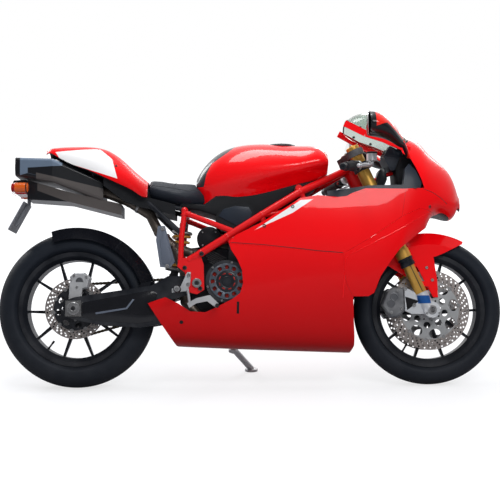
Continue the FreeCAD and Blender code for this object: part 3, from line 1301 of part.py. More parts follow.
def rear_caliper():
    """The rear caliper with its carrier, which sits on the axle inside the swingarm."""
    body = caliper(REAR_CALIPER_SHARES, REAR_CALIPER_OUTER, REAR_CALIPER_INNER, REAR_AXLE,
                   REAR_DISC_RADIUS, REAR_DISC_OFFSET, REAR_DISC_THICKNESS)
    inner = -REAR_DISC_OFFSET - REAR_DISC_THICKNESS / 2 - CALIPER_SLOT_CLEARANCE
    outer = -ARM_INNER + SEAT_GAP
    plate = side_plate(side_points(REAR_CARRIER_SHARES), outer, inner)
    ring = cross_rod(REAR_AXLE, AXLE_COLLAR_RADIUS + CARRIER_WALL, outer, inner)
    whole = fused([body, plate, ring])
    return whole.cut(cross_rod(REAR_AXLE, AXLE_COLLAR_RADIUS + SEAT_GAP, -BODY_WIDTH, 0))


def yoke(at, thickness):
    """A clamp plate across both fork tubes and the stem."""
    low = at - thickness / 2
    arms = []
    for side in (-1, 1):
        arms.append(rod(fork_line(low, side), fork_line(low + thickness, side),
            OUTER_TUBE_RADIUS + YOKE_WALL))
        arms.append(bar_between(steering_point(at), fork_line(at, side), STEERING_UP, (
            (thickness, YOKE_WIDTH), (thickness, YOKE_WIDTH * YOKE_TAPER_SHARE))))
    hub = rod(steering_point(low), steering_point(low + thickness), STEM_RADIUS + YOKE_WALL * 2)
    plate = fused([hub] + arms)
    for side in (-1, 1):
        plate = plate.cut(rod(fork_line(low - OVERRUN, side), fork_line(low + thickness + OVERRUN, side),
            OUTER_TUBE_RADIUS + SEAT_GAP))
    return plate


def yokes():
    stem = rod(steering_point(LOWER_YOKE_ALONG), steering_point(UPPER_YOKE_ALONG), STEM_RADIUS)
    return fused([yoke(LOWER_YOKE_ALONG, LOWER_YOKE_THICKNESS), stem,
        yoke(UPPER_YOKE_ALONG, YOKE_THICKNESS)])


def bar_axis():
    """Where the right handlebar starts on its fork clamp and the direction that it runs in."""
    start = fork_line(BAR_ALONG) - Y_AXIS * OUTER_TUBE_RADIUS
    sweep = math.radians(BAR_SWEEP_DEGREES)
    drop = math.radians(BAR_DROP_DEGREES)
    outward = vec(-math.sin(sweep) * math.cos(drop), -math.cos(sweep) * math.cos(drop), -math.sin(drop))
    return start, outward


def handlebars():
    """Clip-on bars clamped to the fork tubes below the upper yoke."""
    start, outward = bar_axis()
    clamp = rod(fork_line(BAR_ALONG - BAR_RADIUS * 2 + SEAT_GAP), fork_line(BAR_ALONG + BAR_RADIUS),
        OUTER_TUBE_RADIUS + YOKE_WALL)
    bar = rod(start, start + outward * BAR_LENGTH, BAR_RADIUS)
    end = rod(start + outward * BAR_LENGTH, start + outward * (BAR_LENGTH + BAR_END_LENGTH),
        BAR_END_RADIUS)
    side = fused([clamp, bar, end]).cut(rod(fork_line(0), fork_line(FORK_TOP + OVERRUN),
        OUTER_TUBE_RADIUS + SEAT_GAP))
    return both_sides(side)


def grips():
    start, outward = bar_axis()
    near = start + outward * (BAR_LENGTH - GRIP_LENGTH - SEAT_GAP)
    return both_sides(rod(near, near + outward * GRIP_LENGTH, GRIP_RADIUS, BAR_RADIUS + SEAT_GAP))


def hand_levers():
    """A clamp, reservoir and lever on each bar."""
    start, outward = bar_axis()
    clamp_at = start + outward * LEVER_CLAMP_ALONG
    ahead = outward.cross(Z_AXIS).normalize()
    if ahead.x < 0:
        ahead = ahead * -1
    clamp = rod(clamp_at, clamp_at + outward * LEVER_CLAMP_WIDTH, BAR_RADIUS + YOKE_WALL,
        BAR_RADIUS + SEAT_GAP)
    root = clamp_at + ahead * LEVER_REACH
    body = bar_between(clamp_at + outward * (LEVER_CLAMP_WIDTH / 2)
        + ahead * (BAR_RADIUS + YOKE_WALL / 2), root, Z_AXIS, (
        (LEVER_THICKNESS * 2, LEVER_CLAMP_WIDTH), (LEVER_THICKNESS * 2, LEVER_CLAMP_WIDTH)))
    tip = root + outward * LEVER_LENGTH
    lever = bar_between(root, tip, Z_AXIS,
        ((LEVER_THICKNESS, LEVER_WIDTH), (LEVER_THICKNESS, LEVER_WIDTH / 2)))
    pot_foot = root + Z_AXIS * LEVER_THICKNESS
    pot_top = pot_foot + Z_AXIS * (RESERVOIR_HEIGHT + RESERVOIR_STAND)
    pot = rod(pot_top - Z_AXIS * RESERVOIR_HEIGHT, pot_top, RESERVOIR_RADIUS)
    neck = rod(root, pot_top - Z_AXIS * RESERVOIR_HEIGHT, LEVER_THICKNESS)
    return both_sides(fused([clamp, body, lever, pot, neck]))


def guard_section(radius, width, depth):
    """An arch over the tyre in (radius, y) pairs, as a thin band."""
    half = width / 2 + GUARD_GAP
    top = radius + GUARD_GAP
    shoulder = half * GUARD_SHOULDER_SHARE
    drop = (top - radius + TYRE_SHOULDER_DROP) * GUARD_DROP_SHARE
    outer = [(top - depth, -half - GUARD_WALL), (top - drop, -half - GUARD_WALL),
        (top + GUARD_WALL, -shoulder),
             (top + GUARD_WALL, shoulder), (top - drop, half + GUARD_WALL), (top - depth,
                 half + GUARD_WALL)]
    inner = [(top - depth, half), (top - drop, half), (top, shoulder - GUARD_WALL),
             (top, -shoulder + GUARD_WALL), (top - drop, -half), (top - depth, -half)]
    return outer + inner


def front_mudguard():
    """An arch over the tyre with a leg down each side to the fork's foot."""
    side_y = FRONT_TYRE_WIDTH / 2 + GUARD_GAP
    arch = turned(guard_section(FRONT_TYRE_RADIUS, FRONT_TYRE_WIDTH, FRONT_GUARD_DEPTH),
                  FRONT_AXLE, FRONT_GUARD_TO_DEGREES - FRONT_GUARD_FROM_DEGREES, FRONT_GUARD_FROM_DEGREES)
    arch = arch.common(side_plate(side_points(FRONT_GUARD_SIDE_SHARES), -side_y - OVERRUN,
        side_y + OVERRUN))
    leg = side_plate(side_points(FRONT_LEG_SHARES), -side_y - GUARD_WALL, -side_y)
    tab = side_plate(side_points(FRONT_TAB_SHARES), -FORK_HALF_SPREAD, -side_y)
    whole = fused([arch, leg, mirrored(leg), tab, mirrored(tab)])
    for side in (-1, 1):
        whole = whole.cut(rod(fork_line(FORK_FOOT_TOP, side), fork_line(FORK_TOP, side),
            SLIDER_RADIUS + SEAT_GAP))
    return largest(whole)


def rear_mudguard():
    """An arch close over the tyre that stands on the swingarm, with room for the chain."""
    arch = turned(guard_section(REAR_TYRE_RADIUS, REAR_TYRE_WIDTH, TYRE_SHOULDER_DROP),
                  REAR_AXLE, REAR_GUARD_TO_DEGREES - REAR_GUARD_FROM_DEGREES, REAR_GUARD_FROM_DEGREES)
    foot_points = side_points(GUARD_FOOT_SHARES)
    side_y = REAR_TYRE_WIDTH / 2 + GUARD_GAP
    foot = side_plate([(x, z + SEAT_GAP) for x, z in foot_points], -ARM_OUTER, -side_y)
    whole = fused([arch, foot, mirrored(foot)])
    return whole.cut(chain_room())


# Rear sprocket and chain
def sprocket():
    centre = REAR_AXLE
    half = SPROCKET_THICKNESS / 2
    points = []
    for tooth in range(TOOTH_COUNT):
        for step, depth in TOOTH_STEP_SHARES:
            radius = REAR_SPROCKET_RADIUS - TOOTH_DEPTH * depth
            spot = polar(centre, radius, (tooth + step) * FULL_TURN / TOOTH_COUNT, CHAIN_OFFSET - half)
            points.append(spot)
    toothed = polygon_face(points).extrude(vec(0, SPROCKET_THICKNESS, 0))
    toothed = toothed.cut(cross_rod(centre, REAR_HUB_RADIUS, -BODY_WIDTH, BODY_WIDTH))
    carrier = cross_rod(centre, REAR_HUB_RADIUS + TOOTH_DEPTH, REAR_HUB_WIDTH / 2, CHAIN_OFFSET - half,
        REAR_AXLE_RADIUS + SPROCKET_BORE_GAP)
    return fused([toothed, carrier])


def chain_loop(grow):
    """The outline round both sprockets, a set distance out from the rear one's teeth."""
    big = REAR_SPROCKET_RADIUS + CHAIN_RUN_GAP + grow
    small = FRONT_SPROCKET_RADIUS + CHAIN_RUN_GAP + grow
    a = REAR_AXLE
    b = place(*FRONT_SPROCKET_SHARES)
    gap = b - a
    reach = gap.Length
    tilt = math.degrees(math.atan2(gap.z, gap.x))
    spread = math.degrees(math.acos((big - small) / reach))
    y = CHAIN_OFFSET - CHAIN_WIDTH / 2
    p1 = polar(a, big, tilt + spread, y)
    p2 = polar(b, small, tilt + spread, y)
    p3 = polar(b, small, tilt - spread, y)
    p4 = polar(a, big, tilt - spread, y)
    back = polar(a, big, tilt + 180, y)
    nose = polar(b, small, tilt, y)
    edges = [Part.makeLine(p1, p2), Part.Arc(p2, nose, p3).toShape(), Part.makeLine(p3, p4),
        Part.Arc(p4, back, p1).toShape()]
    return Part.Face(Part.Wire(edges))


def chain_room():
    """The room that the chain keeps to itself."""
    band = chain_loop(CHAIN_DEPTH + RUNNING_GAP).cut(chain_loop(-RUNNING_GAP))
    room = band.extrude(vec(0, CHAIN_WIDTH + RUNNING_GAP * 2, 0))
    room.translate(vec(0, -RUNNING_GAP, 0))
    return room


def chain():
    band = chain_loop(CHAIN_DEPTH).cut(chain_loop(0))
    return band.extrude(vec(0, CHAIN_WIDTH, 0))


def front_sprocket():
    half = SPROCKET_THICKNESS / 2
    return cross_rod(place(*FRONT_SPROCKET_SHARES), FRONT_SPROCKET_RADIUS, CHAIN_OFFSET - half,
        CHAIN_OFFSET + half)


def shock_absorber():
    """The damper between its two eyes, with the spring's seats."""
    top = place(*SHOCK_TOP_SHARES)
    foot = place(*SHOCK_FOOT_SHARES)
    run = (top - foot).normalize()
    parts = [rod(foot, top, SHOCK_BODY_RADIUS)]
    for spot in (foot + run * SPRING_WIRE_RADIUS * 4, top - run * SPRING_WIRE_RADIUS * 5):
        parts.append(rod(spot, spot + run * SPRING_WIRE_RADIUS, SPRING_RADIUS + SPRING_WIRE_RADIUS))
    for eye in (top, foot):
        parts.append(cross_rod(eye, SHOCK_BODY_RADIUS * SHOCK_EYE_SHARE, -SHOCK_EYE_HALF, SHOCK_EYE_HALF))
    whole = fused(parts)
    for eye in (top, foot):
        whole = whole.cut(cross_rod(eye, SHOCK_PIN_RADIUS + SEAT_GAP, -BODY_WIDTH, BODY_WIDTH))
    room = rod(foot - run * OVERRUN, foot - run * SHOCK_BODY_RADIUS * SHOCK_EYE_SHARE, SPRING_RADIUS)
    return whole.cut(room)


def shock_spring():
    """The coil round the damper, as short straight pieces."""
    top = place(*SHOCK_TOP_SHARES)
    foot = place(*SHOCK_FOOT_SHARES)
    run = (top - foot).normalize()
    low = SPRING_WIRE_RADIUS * 6 + SEAT_GAP
    high = (top - foot).Length - SPRING_WIRE_RADIUS * 6 - SEAT_GAP
    steps = SPRING_TURNS * SPRING_STEPS
    rings = []
    for step in range(steps + 1):
        turn = 2 * math.pi * step / SPRING_STEPS
        out = vec(math.cos(turn), math.sin(turn), 0)
        centre = out * SPRING_RADIUS + Z_AXIS * (low + (high - low) * step / steps)
        corners = []
        for side in range(SPRING_SIDES):
            angle = 2 * math.pi * side / SPRING_SIDES
            corners.append(centre
                + (out * math.cos(angle) + Z_AXIS * math.sin(angle)) * SPRING_WIRE_RADIUS)
        rings.append(Part.makePolygon(corners + [corners[0]]))
    coil = loft(rings, True)
    coil.Placement = FreeCAD.Placement(foot, FreeCAD.Rotation(Z_AXIS, run))
    return coil


def exhaust_pipes(engine, muffler):
    """Both cylinders' pipes, which join behind the frame, with studs for the shield."""
    parts = []
    for run in PIPE_SHARES:
        parts += tube_run([place(*p) for p in run], PIPE_RADIUS)
    for share in SHIELD_STUD_SHARES:
        spot = place(*share)
        parts.append(cross_rod(spot, SHIELD_STUD_RADIUS, -SHIELD_Y + SEAT_GAP, spot.y))
    return fused(parts).cut(engine).cut(muffler)


def heat_shield():
    return side_plate(side_points(SHIELD_SHARES), -SHIELD_Y - PANEL_WALL, -SHIELD_Y)


def radiator():
    """A slanted core on two feet that stand on the forward cylinder."""
    foot = place(*RADIATOR_FOOT_SHARES)
    top = place(*RADIATOR_TOP_SHARES)
    core = bar_between(foot, top, Y_AXIS,
        ((RADIATOR_WIDTH, RADIATOR_THICKNESS), (RADIATOR_WIDTH, RADIATOR_THICKNESS)))
    stand = vec(along(RADIATOR_LUG_X_SHARE), CYLINDER_HALF - RADIATOR_LUG_RADIUS * 2,
        cylinder_top(along(RADIATOR_LUG_X_SHARE)) + SEAT_GAP * 2)
    lug = rod(stand, vec(stand.x, stand.y, foot.z + RADIATOR_THICKNESS), RADIATOR_LUG_RADIUS)
    return fused([core, lug, mirrored(lug)])


def cylinder_top(x):
    """The height of the forward cylinder's upper face."""
    front, rear = side_points(FRONT_CYLINDER_SHARES[-2:])
    return rear[1] + (front[1] - rear[1]) * (x - rear[0]) / (front[0] - rear[0])


def dashboard():
    """The instrument pod, seated over the fairing's stay."""
    pod = side_plate(side_points(DASH_SHARES), -DASH_HALF, DASH_HALF)
    stay = [steering_point(STAY_ALONG, 0, STAY_LEAD)] + [place(*p) for p in STAY_SHARES]
    for piece in tube_run(stay, STAY_RADIUS + SEAT_GAP):
        pod = pod.cut(piece)
    return pod


def cockpit_panels(skin):
    """The trim each side of the fork, which sits against the skin's inner face."""
    duct = inside(side_plate(side_points(DUCT_SHARES), -DUCT_OUTER, -DUCT_INNER), skin)
    trim = inside(side_plate(side_points(TRIM_SHARES), -DUCT_OUTER, -TRIM_INNER), skin)
    return both_sides(fused([duct, trim]))


def airbox_covers():
    """The airbox on top of the upright cylinder, with its round cover each side."""
    cover = smooth_plate(side_points(AIRBOX_COVER_SHARES), -AIRBOX_COVER_Y - PANEL_WALL * 3,
        -AIRBOX_COVER_Y)
    box = side_plate(side_points(AIRBOX_SHARES), -AIRBOX_COVER_Y - PANEL_WALL,
        AIRBOX_COVER_Y + PANEL_WALL)
    box.translate(Z_AXIS * SEAT_GAP)
    return fused([cover, mirrored(cover), box])


def mirrors(nose):
    rings = []
    for x, y, half, low, high in MIRROR_SECTION_SHARES:
        middle = (low + high) / 2
        ring = [place(x, -y, low), place(x, -y - half, middle), place(x, -y, high),
            place(x, -y + half, middle)]
        rings.append(ring_wire(ring))
    pod = loft(rings)
    x, y, half, low, high = MIRROR_SECTION_SHARES[-1]
    neck = rod(place(*MIRROR_ROOT_SHARES), place(x, -y, (low + high) / 2), MIRROR_STALK_RADIUS)
    return both_sides(largest(fused([pod, neck]).cut(nose)))


def footrests():
    """A hanger on each frame casting with its folding peg and its foot lever."""
    hanger = side_plate(side_points(HANGER_SHARES), -HANGER_OUTER, -CASTING_OUTER - SEAT_GAP)
    spot = place(*PEG_SHARES)
    peg = cross_rod(spot, PEG_RADIUS, spot.y - PEG_LENGTH, spot.y + PEG_RADIUS)
    middle = -(HANGER_OUTER + CASTING_OUTER) / 2
    lever = side_plate(side_points(PEDAL_SHARES), middle - PEG_RADIUS / 2, middle + PEG_RADIUS / 2)
    (top_x, top_z), (low_x, low_z) = side_points(PEDAL_LINK_SHARES)
    link = rod(vec(top_x, middle, top_z), vec(low_x, middle, low_z), PEG_RADIUS / 2)
    return both_sides(fused([hanger, peg, lever, link]))


def stand_foot():
    """The middle of the pad's upper face, with its lower face on the ground of the leaning bike."""
    crown = REAR_TYRE_WIDTH / 2
    rise = (STAND_PAD_THICKNESS - crown + STAND_REACH * math.sin(LEAN)) / math.cos(LEAN)
    return vec(along(STAND_FOOT_X_SHARE), STAND_REACH, crown + rise)


def stand_axis():
    """The line that the stand folds about, from its leg's directions when down and when up."""
    down = (stand_foot() - place(*STAND_PIVOT_SHARES)).normalize()
    return down.cross(vec(*STAND_FOLDED_SHARES)).normalize()


def side_stand():
    pivot = place(*STAND_PIVOT_SHARES)
    foot = stand_foot()
    leg = rod(pivot, foot, STAND_RADIUS)
    hinge = stand_axis() * STAND_EYE_HALF
    eye = rod(pivot - hinge, pivot + hinge, STAND_PIVOT_RADIUS * 2)
    down = vec(0, math.sin(LEAN), -math.cos(LEAN))
    pad = rod(foot, foot + down * STAND_PAD_THICKNESS, STAND_PAD_RADIUS)
    return fused([leg, eye, pad])


def stand_bracket(grow=0):
    """The lug below the engine that the stand's eye turns on."""
    hinge = stand_axis()
    low = place(*STAND_PIVOT_SHARES) + hinge * (STAND_EYE_HALF + SEAT_GAP - grow)
    high = place(*STAND_PIVOT_SHARES) + hinge * (STAND_EYE_HALF + STAND_LUG_DEPTH + grow)
    root = place(*STAND_ROOT_SHARES)
    size = (BRACKET_WIDTH + grow * 2, STAND_LUG_DEPTH + grow * 2)
    lug = rod(low, high, STAND_PIVOT_RADIUS * 2 + grow)
    middle = high - hinge * (STAND_LUG_DEPTH / 4)
    bracket = fused([lug, bar_between(middle, root, X_AXIS, (size, size))])
    eye_end = place(*STAND_PIVOT_SHARES) + hinge * (STAND_EYE_HALF + SEAT_GAP - grow)
    room = rod(eye_end - hinge * (STAND_EYE_HALF * 3), eye_end, STAND_PIVOT_RADIUS * 2 + RUNNING_GAP)
    return bracket if grow else bracket.cut(room)


def rear_rim():
    return rim(REAR_AXLE, REAR_RIM_WIDTH, REAR_HUB_RADIUS, REAR_HUB_WIDTH,
        REAR_AXLE_RADIUS + HUB_BORE_CLEARANCE)


def front_rim():
    return rim(FRONT_AXLE, FRONT_RIM_WIDTH, FRONT_HUB_RADIUS, FRONT_HUB_WIDTH,
        FRONT_AXLE_RADIUS + HUB_BORE_CLEARANCE)


def front_discs():
    disc = brake_disc(FRONT_AXLE, FRONT_DISC_RADIUS, FRONT_DISC_BAND, FRONT_DISC_THICKNESS,
        -FRONT_DISC_OFFSET, FRONT_HUB_RADIUS - CARRIER_ARM_WIDTH / 2)
    boss = cross_rod(FRONT_AXLE, FRONT_HUB_RADIUS, -FRONT_DISC_OFFSET - DISC_CARRIER_THICKNESS / 2,
        -FRONT_HUB_WIDTH / 2, AXLE_COLLAR_RADIUS + RUNNING_GAP)
    return both_sides(fused([disc, boss]))


def rear_disc():
    disc = brake_disc(REAR_AXLE, REAR_DISC_RADIUS, REAR_DISC_BAND, REAR_DISC_THICKNESS, -REAR_DISC_OFFSET,
        REAR_HUB_RADIUS - CARRIER_ARM_WIDTH / 2)
    boss = cross_rod(REAR_AXLE, REAR_HUB_RADIUS, -REAR_DISC_OFFSET - DISC_CARRIER_THICKNESS / 2,
        -REAR_HUB_WIDTH / 2, AXLE_COLLAR_RADIUS + RUNNING_GAP)
    return fused([disc, boss])


def upright_parts():
    """Every node in the upright bike's own frame, by name."""
    skin = fairing_skin()
    nose = nose_fairing(skin)
    frame = frame_trellis()
    engine = engine_block(skin)
    tank = fuel_tank()
    muffler = silencer()
    pipes = exhaust_pipes(engine, muffler)
    rails = subframe(frame, muffler)
    return {
        "front_tyre": tyre(FRONT_AXLE, FRONT_TYRE_RADIUS, FRONT_TYRE_WIDTH, FRONT_RIM_WIDTH),
        "rear_tyre": tyre(REAR_AXLE, REAR_TYRE_RADIUS, REAR_TYRE_WIDTH, REAR_RIM_WIDTH),
        "front_rim": front_rim(),
        "rear_rim": rear_rim(),
        "front_discs": front_discs(),
        "rear_disc": rear_disc(),
        "rear_sprocket": sprocket(),
        "chain": chain(),
        "front_axle": front_axle(),
        "rear_axle": rear_axle(),
        "outer_tubes": outer_tubes(),
        "fork_lowers": fork_lowers(),
        "front_calipers": front_calipers(),
        "rear_caliper": rear_caliper(),
        "yokes": yokes(),
        "handlebars": Part.makeCompound([handlebars(), grips()]),
        "hand_levers": hand_levers(),
        "front_mudguard": front_mudguard(),
        "rear_mudguard": rear_mudguard(),
        "frame_trellis": frame,
        "subframe": rails,
        "engine_block": engine,
        "clutch_cover": clutch_cover(),
        "swingarm": swingarm(),
        "shock_absorber": shock_absorber(),
        "shock_spring": shock_spring(),
        "exhaust_pipes": pipes,
        "heat_shield": heat_shield(),
        "silencer": muffler,
        "tail_tray": tail_tray(frame, rails, pipes),
        "tail_cowl": tail_cowl(rails),
        "seat_pad": seat_pad(tank),
        "fuel_tank": tank,
        "fuel_cap": fuel_cap(),
        "rear_lamps": rear_lamps(),
        "plate_holder": plate_holder(),
        "nose_fairing": nose,
        "headlamps": headlamps().cut(frame),
        "windscreen": largest(windscreen().cut(nose)),
        "side_panels": both_sides(trimmed_panel(skin, SIDE_PANEL_OUTLINE_SHARES, 0, SEAM_GAP / 2)),
        "vent_panels": both_sides(trimmed_panel(skin, VENT_PANEL_OUTLINE_SHARES, SEAM_GAP, 0)),
        "belly_pans": belly_pans(skin),
        "radiator": radiator(),
        "cockpit_panels": Part.makeCompound([dashboard(), cockpit_panels(skin)]),
        "airbox_covers": airbox_covers(),
        "mirrors": mirrors(nose),
        "footrests": footrests(),
        "side_stand": side_stand(),
    }


def lean_placement():
    """Leans the upright bike over to its left about the rear tyre's crown."""
    pivot = vec(0, 0, REAR_TYRE_WIDTH / 2)
    turn = FreeCAD.Rotation(X_AXIS, -LEAN_DEGREES)
    return FreeCAD.Placement(pivot, turn).multiply(FreeCAD.Placement(pivot * -1, FreeCAD.Rotation()))


def parked_parts():
    lean = lean_placement()
    parts = {}
    for name, shape in upright_parts().items():
        shape.Placement = lean.multiply(shape.Placement)
        parts[name] = shape
    return parts


def stored_shift(parts):
    """Moves the leaning bike's box so that its bottom middle is the origin."""
    box = FreeCAD.BoundBox()
    for shape in parts.values():
        box.add(shape.optimalBoundingBox(True, False))
    return vec(-box.Center.x, -box.Center.y, -box.ZMin)


def main():
    os.makedirs("parts", exist_ok=True)
    parts = parked_parts()
    shift = stored_shift(parts)
    for name, shape in parts.items():
        shape.Placement = FreeCAD.Placement(shift, FreeCAD.Rotation()).multiply(shape.Placement)
        shape.exportStep("parts/" + name + ".step")


if __name__ == "__main__":
    main()
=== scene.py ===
import json
import math
from functools import reduce

import bmesh
import bpy
from mathutils import Matrix, Vector
from mathutils.bvhtree import BVHTree


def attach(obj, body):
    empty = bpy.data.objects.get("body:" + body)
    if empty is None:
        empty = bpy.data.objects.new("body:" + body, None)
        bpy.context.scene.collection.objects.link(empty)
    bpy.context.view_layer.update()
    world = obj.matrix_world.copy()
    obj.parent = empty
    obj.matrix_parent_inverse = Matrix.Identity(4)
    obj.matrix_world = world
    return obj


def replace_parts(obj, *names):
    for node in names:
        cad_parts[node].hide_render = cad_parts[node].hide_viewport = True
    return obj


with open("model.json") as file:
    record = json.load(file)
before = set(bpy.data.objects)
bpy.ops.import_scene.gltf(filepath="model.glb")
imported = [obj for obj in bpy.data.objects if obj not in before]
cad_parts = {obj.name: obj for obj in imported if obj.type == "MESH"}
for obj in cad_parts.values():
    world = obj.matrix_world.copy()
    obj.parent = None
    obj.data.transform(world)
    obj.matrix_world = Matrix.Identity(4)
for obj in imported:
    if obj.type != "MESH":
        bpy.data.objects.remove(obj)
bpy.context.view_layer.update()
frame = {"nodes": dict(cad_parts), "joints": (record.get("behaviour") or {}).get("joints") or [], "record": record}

# The bike is modelled upright, in metres, with both axles in the plane y = 0.
# UPRIGHT_TO_PARKED leans it on its stand and puts it where the frame has it.
LEAN = math.radians(12)
LEAN_PIVOT = Vector((0, 0, 0.09))
FRONT_AXLE = Vector((0.710, 0, 0.2993))
REAR_AXLE = Vector((-0.710, 0, 0.315))
FRONT_AXLE_LEANED = Vector((0.710, 0.04352, 0.294755))
wheel_joint = next(j for j in frame["joints"] if j["name"] == "front_wheel_spin")
SHIFT = Vector(wheel_joint["pos_m"]) - FRONT_AXLE_LEANED
UPRIGHT_TO_PARKED = (Matrix.Translation(SHIFT + LEAN_PIVOT) @ Matrix.Rotation(-LEAN, 4, "X")
                     @ Matrix.Translation(-LEAN_PIVOT))
PARKED_TO_UPRIGHT = UPRIGHT_TO_PARKED.inverted()

CAMERA_PLACE = Vector((-0.147, -4.625, 1.165))
CAMERA_YAW = math.radians(1.66)
CAMERA_PITCH = math.radians(-7.51)
CAMERA_ROLL = math.radians(-0.19)
CAMERA_LENS = 83.92
CAMERA_SENSOR = 36.0

AHEAD, BACK = Vector((1, 0, 0)), Vector((-1, 0, 0))
RIGHT, LEFT = Vector((0, -1, 0)), Vector((0, 1, 0))
UP, DOWN = Vector((0, 0, 1)), Vector((0, 0, -1))
SIDES = (-1, 1)
RAKE = math.radians(24.5)
FORK_UP = Vector((-math.sin(RAKE), 0, math.cos(RAKE)))
FORK_AHEAD = Vector((math.cos(RAKE), 0, math.sin(RAKE)))
FORK_HALF_SPREAD = 0.105
AXLE_LEAD = 8


def mm(x, y, z):
    """An upright place given in millimetres."""
    return Vector((x, y, z)) / 1000


def turn_about(axis, degrees):
    return Matrix.Rotation(math.radians(degrees), 4, axis)


def on_fork(along, side=-1):
    """A point on a fork leg, by its distance in millimetres up the leg from beside the axle."""
    return FRONT_AXLE + (FORK_UP * along - FORK_AHEAD * AXLE_LEAD) / 1000 + Vector((0, side * FORK_HALF_SPREAD, 0))


def about(centre, radius, degrees):
    """A point round a wheel's or a cover's centre, in the upright x, z plane."""
    angle = math.radians(degrees)
    return centre + Vector((radius * math.cos(angle), 0, radius * math.sin(angle)))


def places_round(centre, radius, count, first, direction):
    """Evenly spaced places round a centre in the x, z plane, from a first angle in degrees."""
    return [(about(centre, radius, 360 / count * index + first), direction) for index in range(count)]


def add_camera():
    data = bpy.data.cameras.new("photo_camera")
    data.lens = CAMERA_LENS
    data.sensor_width = CAMERA_SENSOR
    camera = bpy.data.objects.new("photo_camera", data)
    bpy.context.scene.collection.objects.link(camera)
    camera.location = CAMERA_PLACE + SHIFT
    turn = (Matrix.Rotation(-CAMERA_YAW, 4, "Z") @ Matrix.Rotation(math.radians(90) + CAMERA_PITCH, 4, "X")
            @ Matrix.Rotation(CAMERA_ROLL, 4, "Z"))
    camera.rotation_euler = turn.to_euler()
    bpy.context.scene.camera = camera


# Shader nodes

MIX_SOCKETS = {"RGBA": (6, 7, 2), "FLOAT": (2, 3, 0)}  # the mix node's first and second input, and its output


def feed(tree, node, inputs):
    """Links each of a node's inputs to the socket given for it, or sets it to the value given."""
    for key, value in inputs.items():
        if isinstance(value, bpy.types.NodeSocket):
            tree.links.new(value, node.inputs[key])
        else:
            node.inputs[key].default_value = value
    return node


def add_node(tree, kind, inputs=None, **settings):
    node = tree.nodes.new(kind)
    for key, value in settings.items():
        setattr(node, key, value)
    return feed(tree, node, inputs or {})


def maths(tree, operation, *values, clamp=False):
    node = add_node(tree, "ShaderNodeMath", dict(enumerate(values)), operation=operation, use_clamp=clamp)
    return node.outputs[0]


def vector_maths(tree, operation, *values, result="Vector"):
    return add_node(tree, "ShaderNodeVectorMath", dict(enumerate(values)), operation=operation).outputs[result]


def map_range(tree, value, low, high, to_low=0.0, to_high=1.0):
    return add_node(tree, "ShaderNodeMapRange", {"Value": value, "From Min": low, "From Max": high,
                                                 "To Min": to_low, "To Max": to_high}).outputs["Result"]


def mixed(tree, kind, factor, first, second):
    first_key, second_key, result = MIX_SOCKETS[kind]
    node = add_node(tree, "ShaderNodeMix", {"Factor": factor, first_key: first, second_key: second}, data_type=kind)
    return node.outputs[result]


def new_group(name, inputs, outputs):
    """An empty node group; its inputs and outputs are given as names with their kinds."""
    group = bpy.data.node_groups.new(name, "ShaderNodeTree")
    for way, sockets in (("INPUT", inputs), ("OUTPUT", outputs)):
        for key, kind in sockets.items():
            group.interface.new_socket(name=key, in_out=way, socket_type="NodeSocket" + kind)
    return group


# Materials: one group gives colour, roughness and grain to all of them

FINISH_INPUTS = {"Colour": "Color", "Mottle Colour": "Color", "Mottle Scale": "Float", "Mottle Amount": "Float",
                 "Roughness": "Float", "Roughness Spread": "Float", "Grain Scale": "Float", "Grain Depth": "Float",
                 "Edge Colour": "Color", "Edge Amount": "Float", "Dust Amount": "Float"}
MOTTLE_DETAIL, GRAIN_DETAIL = 5, 3
MOTTLE_RANGE = (0.35, 0.7)
EDGE_RANGE = (0.53, 0.62)
DUST_HEIGHTS = (0.5, 0.02)
DUST_COLOUR = (0.26, 0.23, 0.19, 1)
GRAIN_HEIGHT = 0.0006


def build_finish_group():
    """Mottled colour, worn edges, road dust low down, and a fine grain."""
    group = new_group("surface_finish", FINISH_INPUTS, {"Colour": "Color", "Roughness": "Float", "Normal": "Vector"})
    given = add_node(group, "NodeGroupInput").outputs
    place = add_node(group, "ShaderNodeTexCoord").outputs["Object"]
    mottle = add_node(group, "ShaderNodeTexNoise", {"Vector": place, "Scale": given["Mottle Scale"],
                                                    "Detail": MOTTLE_DETAIL}).outputs["Fac"]
    spread = map_range(group, mottle, *MOTTLE_RANGE)
    mottled = mixed(group, "RGBA", maths(group, "MULTIPLY", spread, given["Mottle Amount"]),
                    given["Colour"], given["Mottle Colour"])
    edge = map_range(group, add_node(group, "ShaderNodeNewGeometry").outputs["Pointiness"], *EDGE_RANGE)
    wear = maths(group, "MULTIPLY", maths(group, "MULTIPLY", edge, spread), given["Edge Amount"])
    worn = mixed(group, "RGBA", wear, mottled, given["Edge Colour"])
    height = add_node(group, "ShaderNodeSeparateXYZ", {0: place}).outputs["Z"]
    low = map_range(group, height, *DUST_HEIGHTS)
    dust = maths(group, "MULTIPLY", maths(group, "MULTIPLY", low, mottle), given["Dust Amount"])
    rough = maths(group, "MULTIPLY_ADD", spread, given["Roughness Spread"], given["Roughness"])
    grain = add_node(group, "ShaderNodeTexNoise", {"Vector": place, "Scale": given["Grain Scale"],
                                                   "Detail": GRAIN_DETAIL})
    bump = add_node(group, "ShaderNodeBump", {"Strength": given["Grain Depth"], "Height": grain.outputs["Fac"],
                                              "Distance": GRAIN_HEIGHT})
    add_node(group, "NodeGroupOutput", {"Colour": mixed(group, "RGBA", dust, worn, DUST_COLOUR),
                                        "Roughness": rough, "Normal": bump.outputs["Normal"]})
    return group


FINISH_GROUP = build_finish_group()


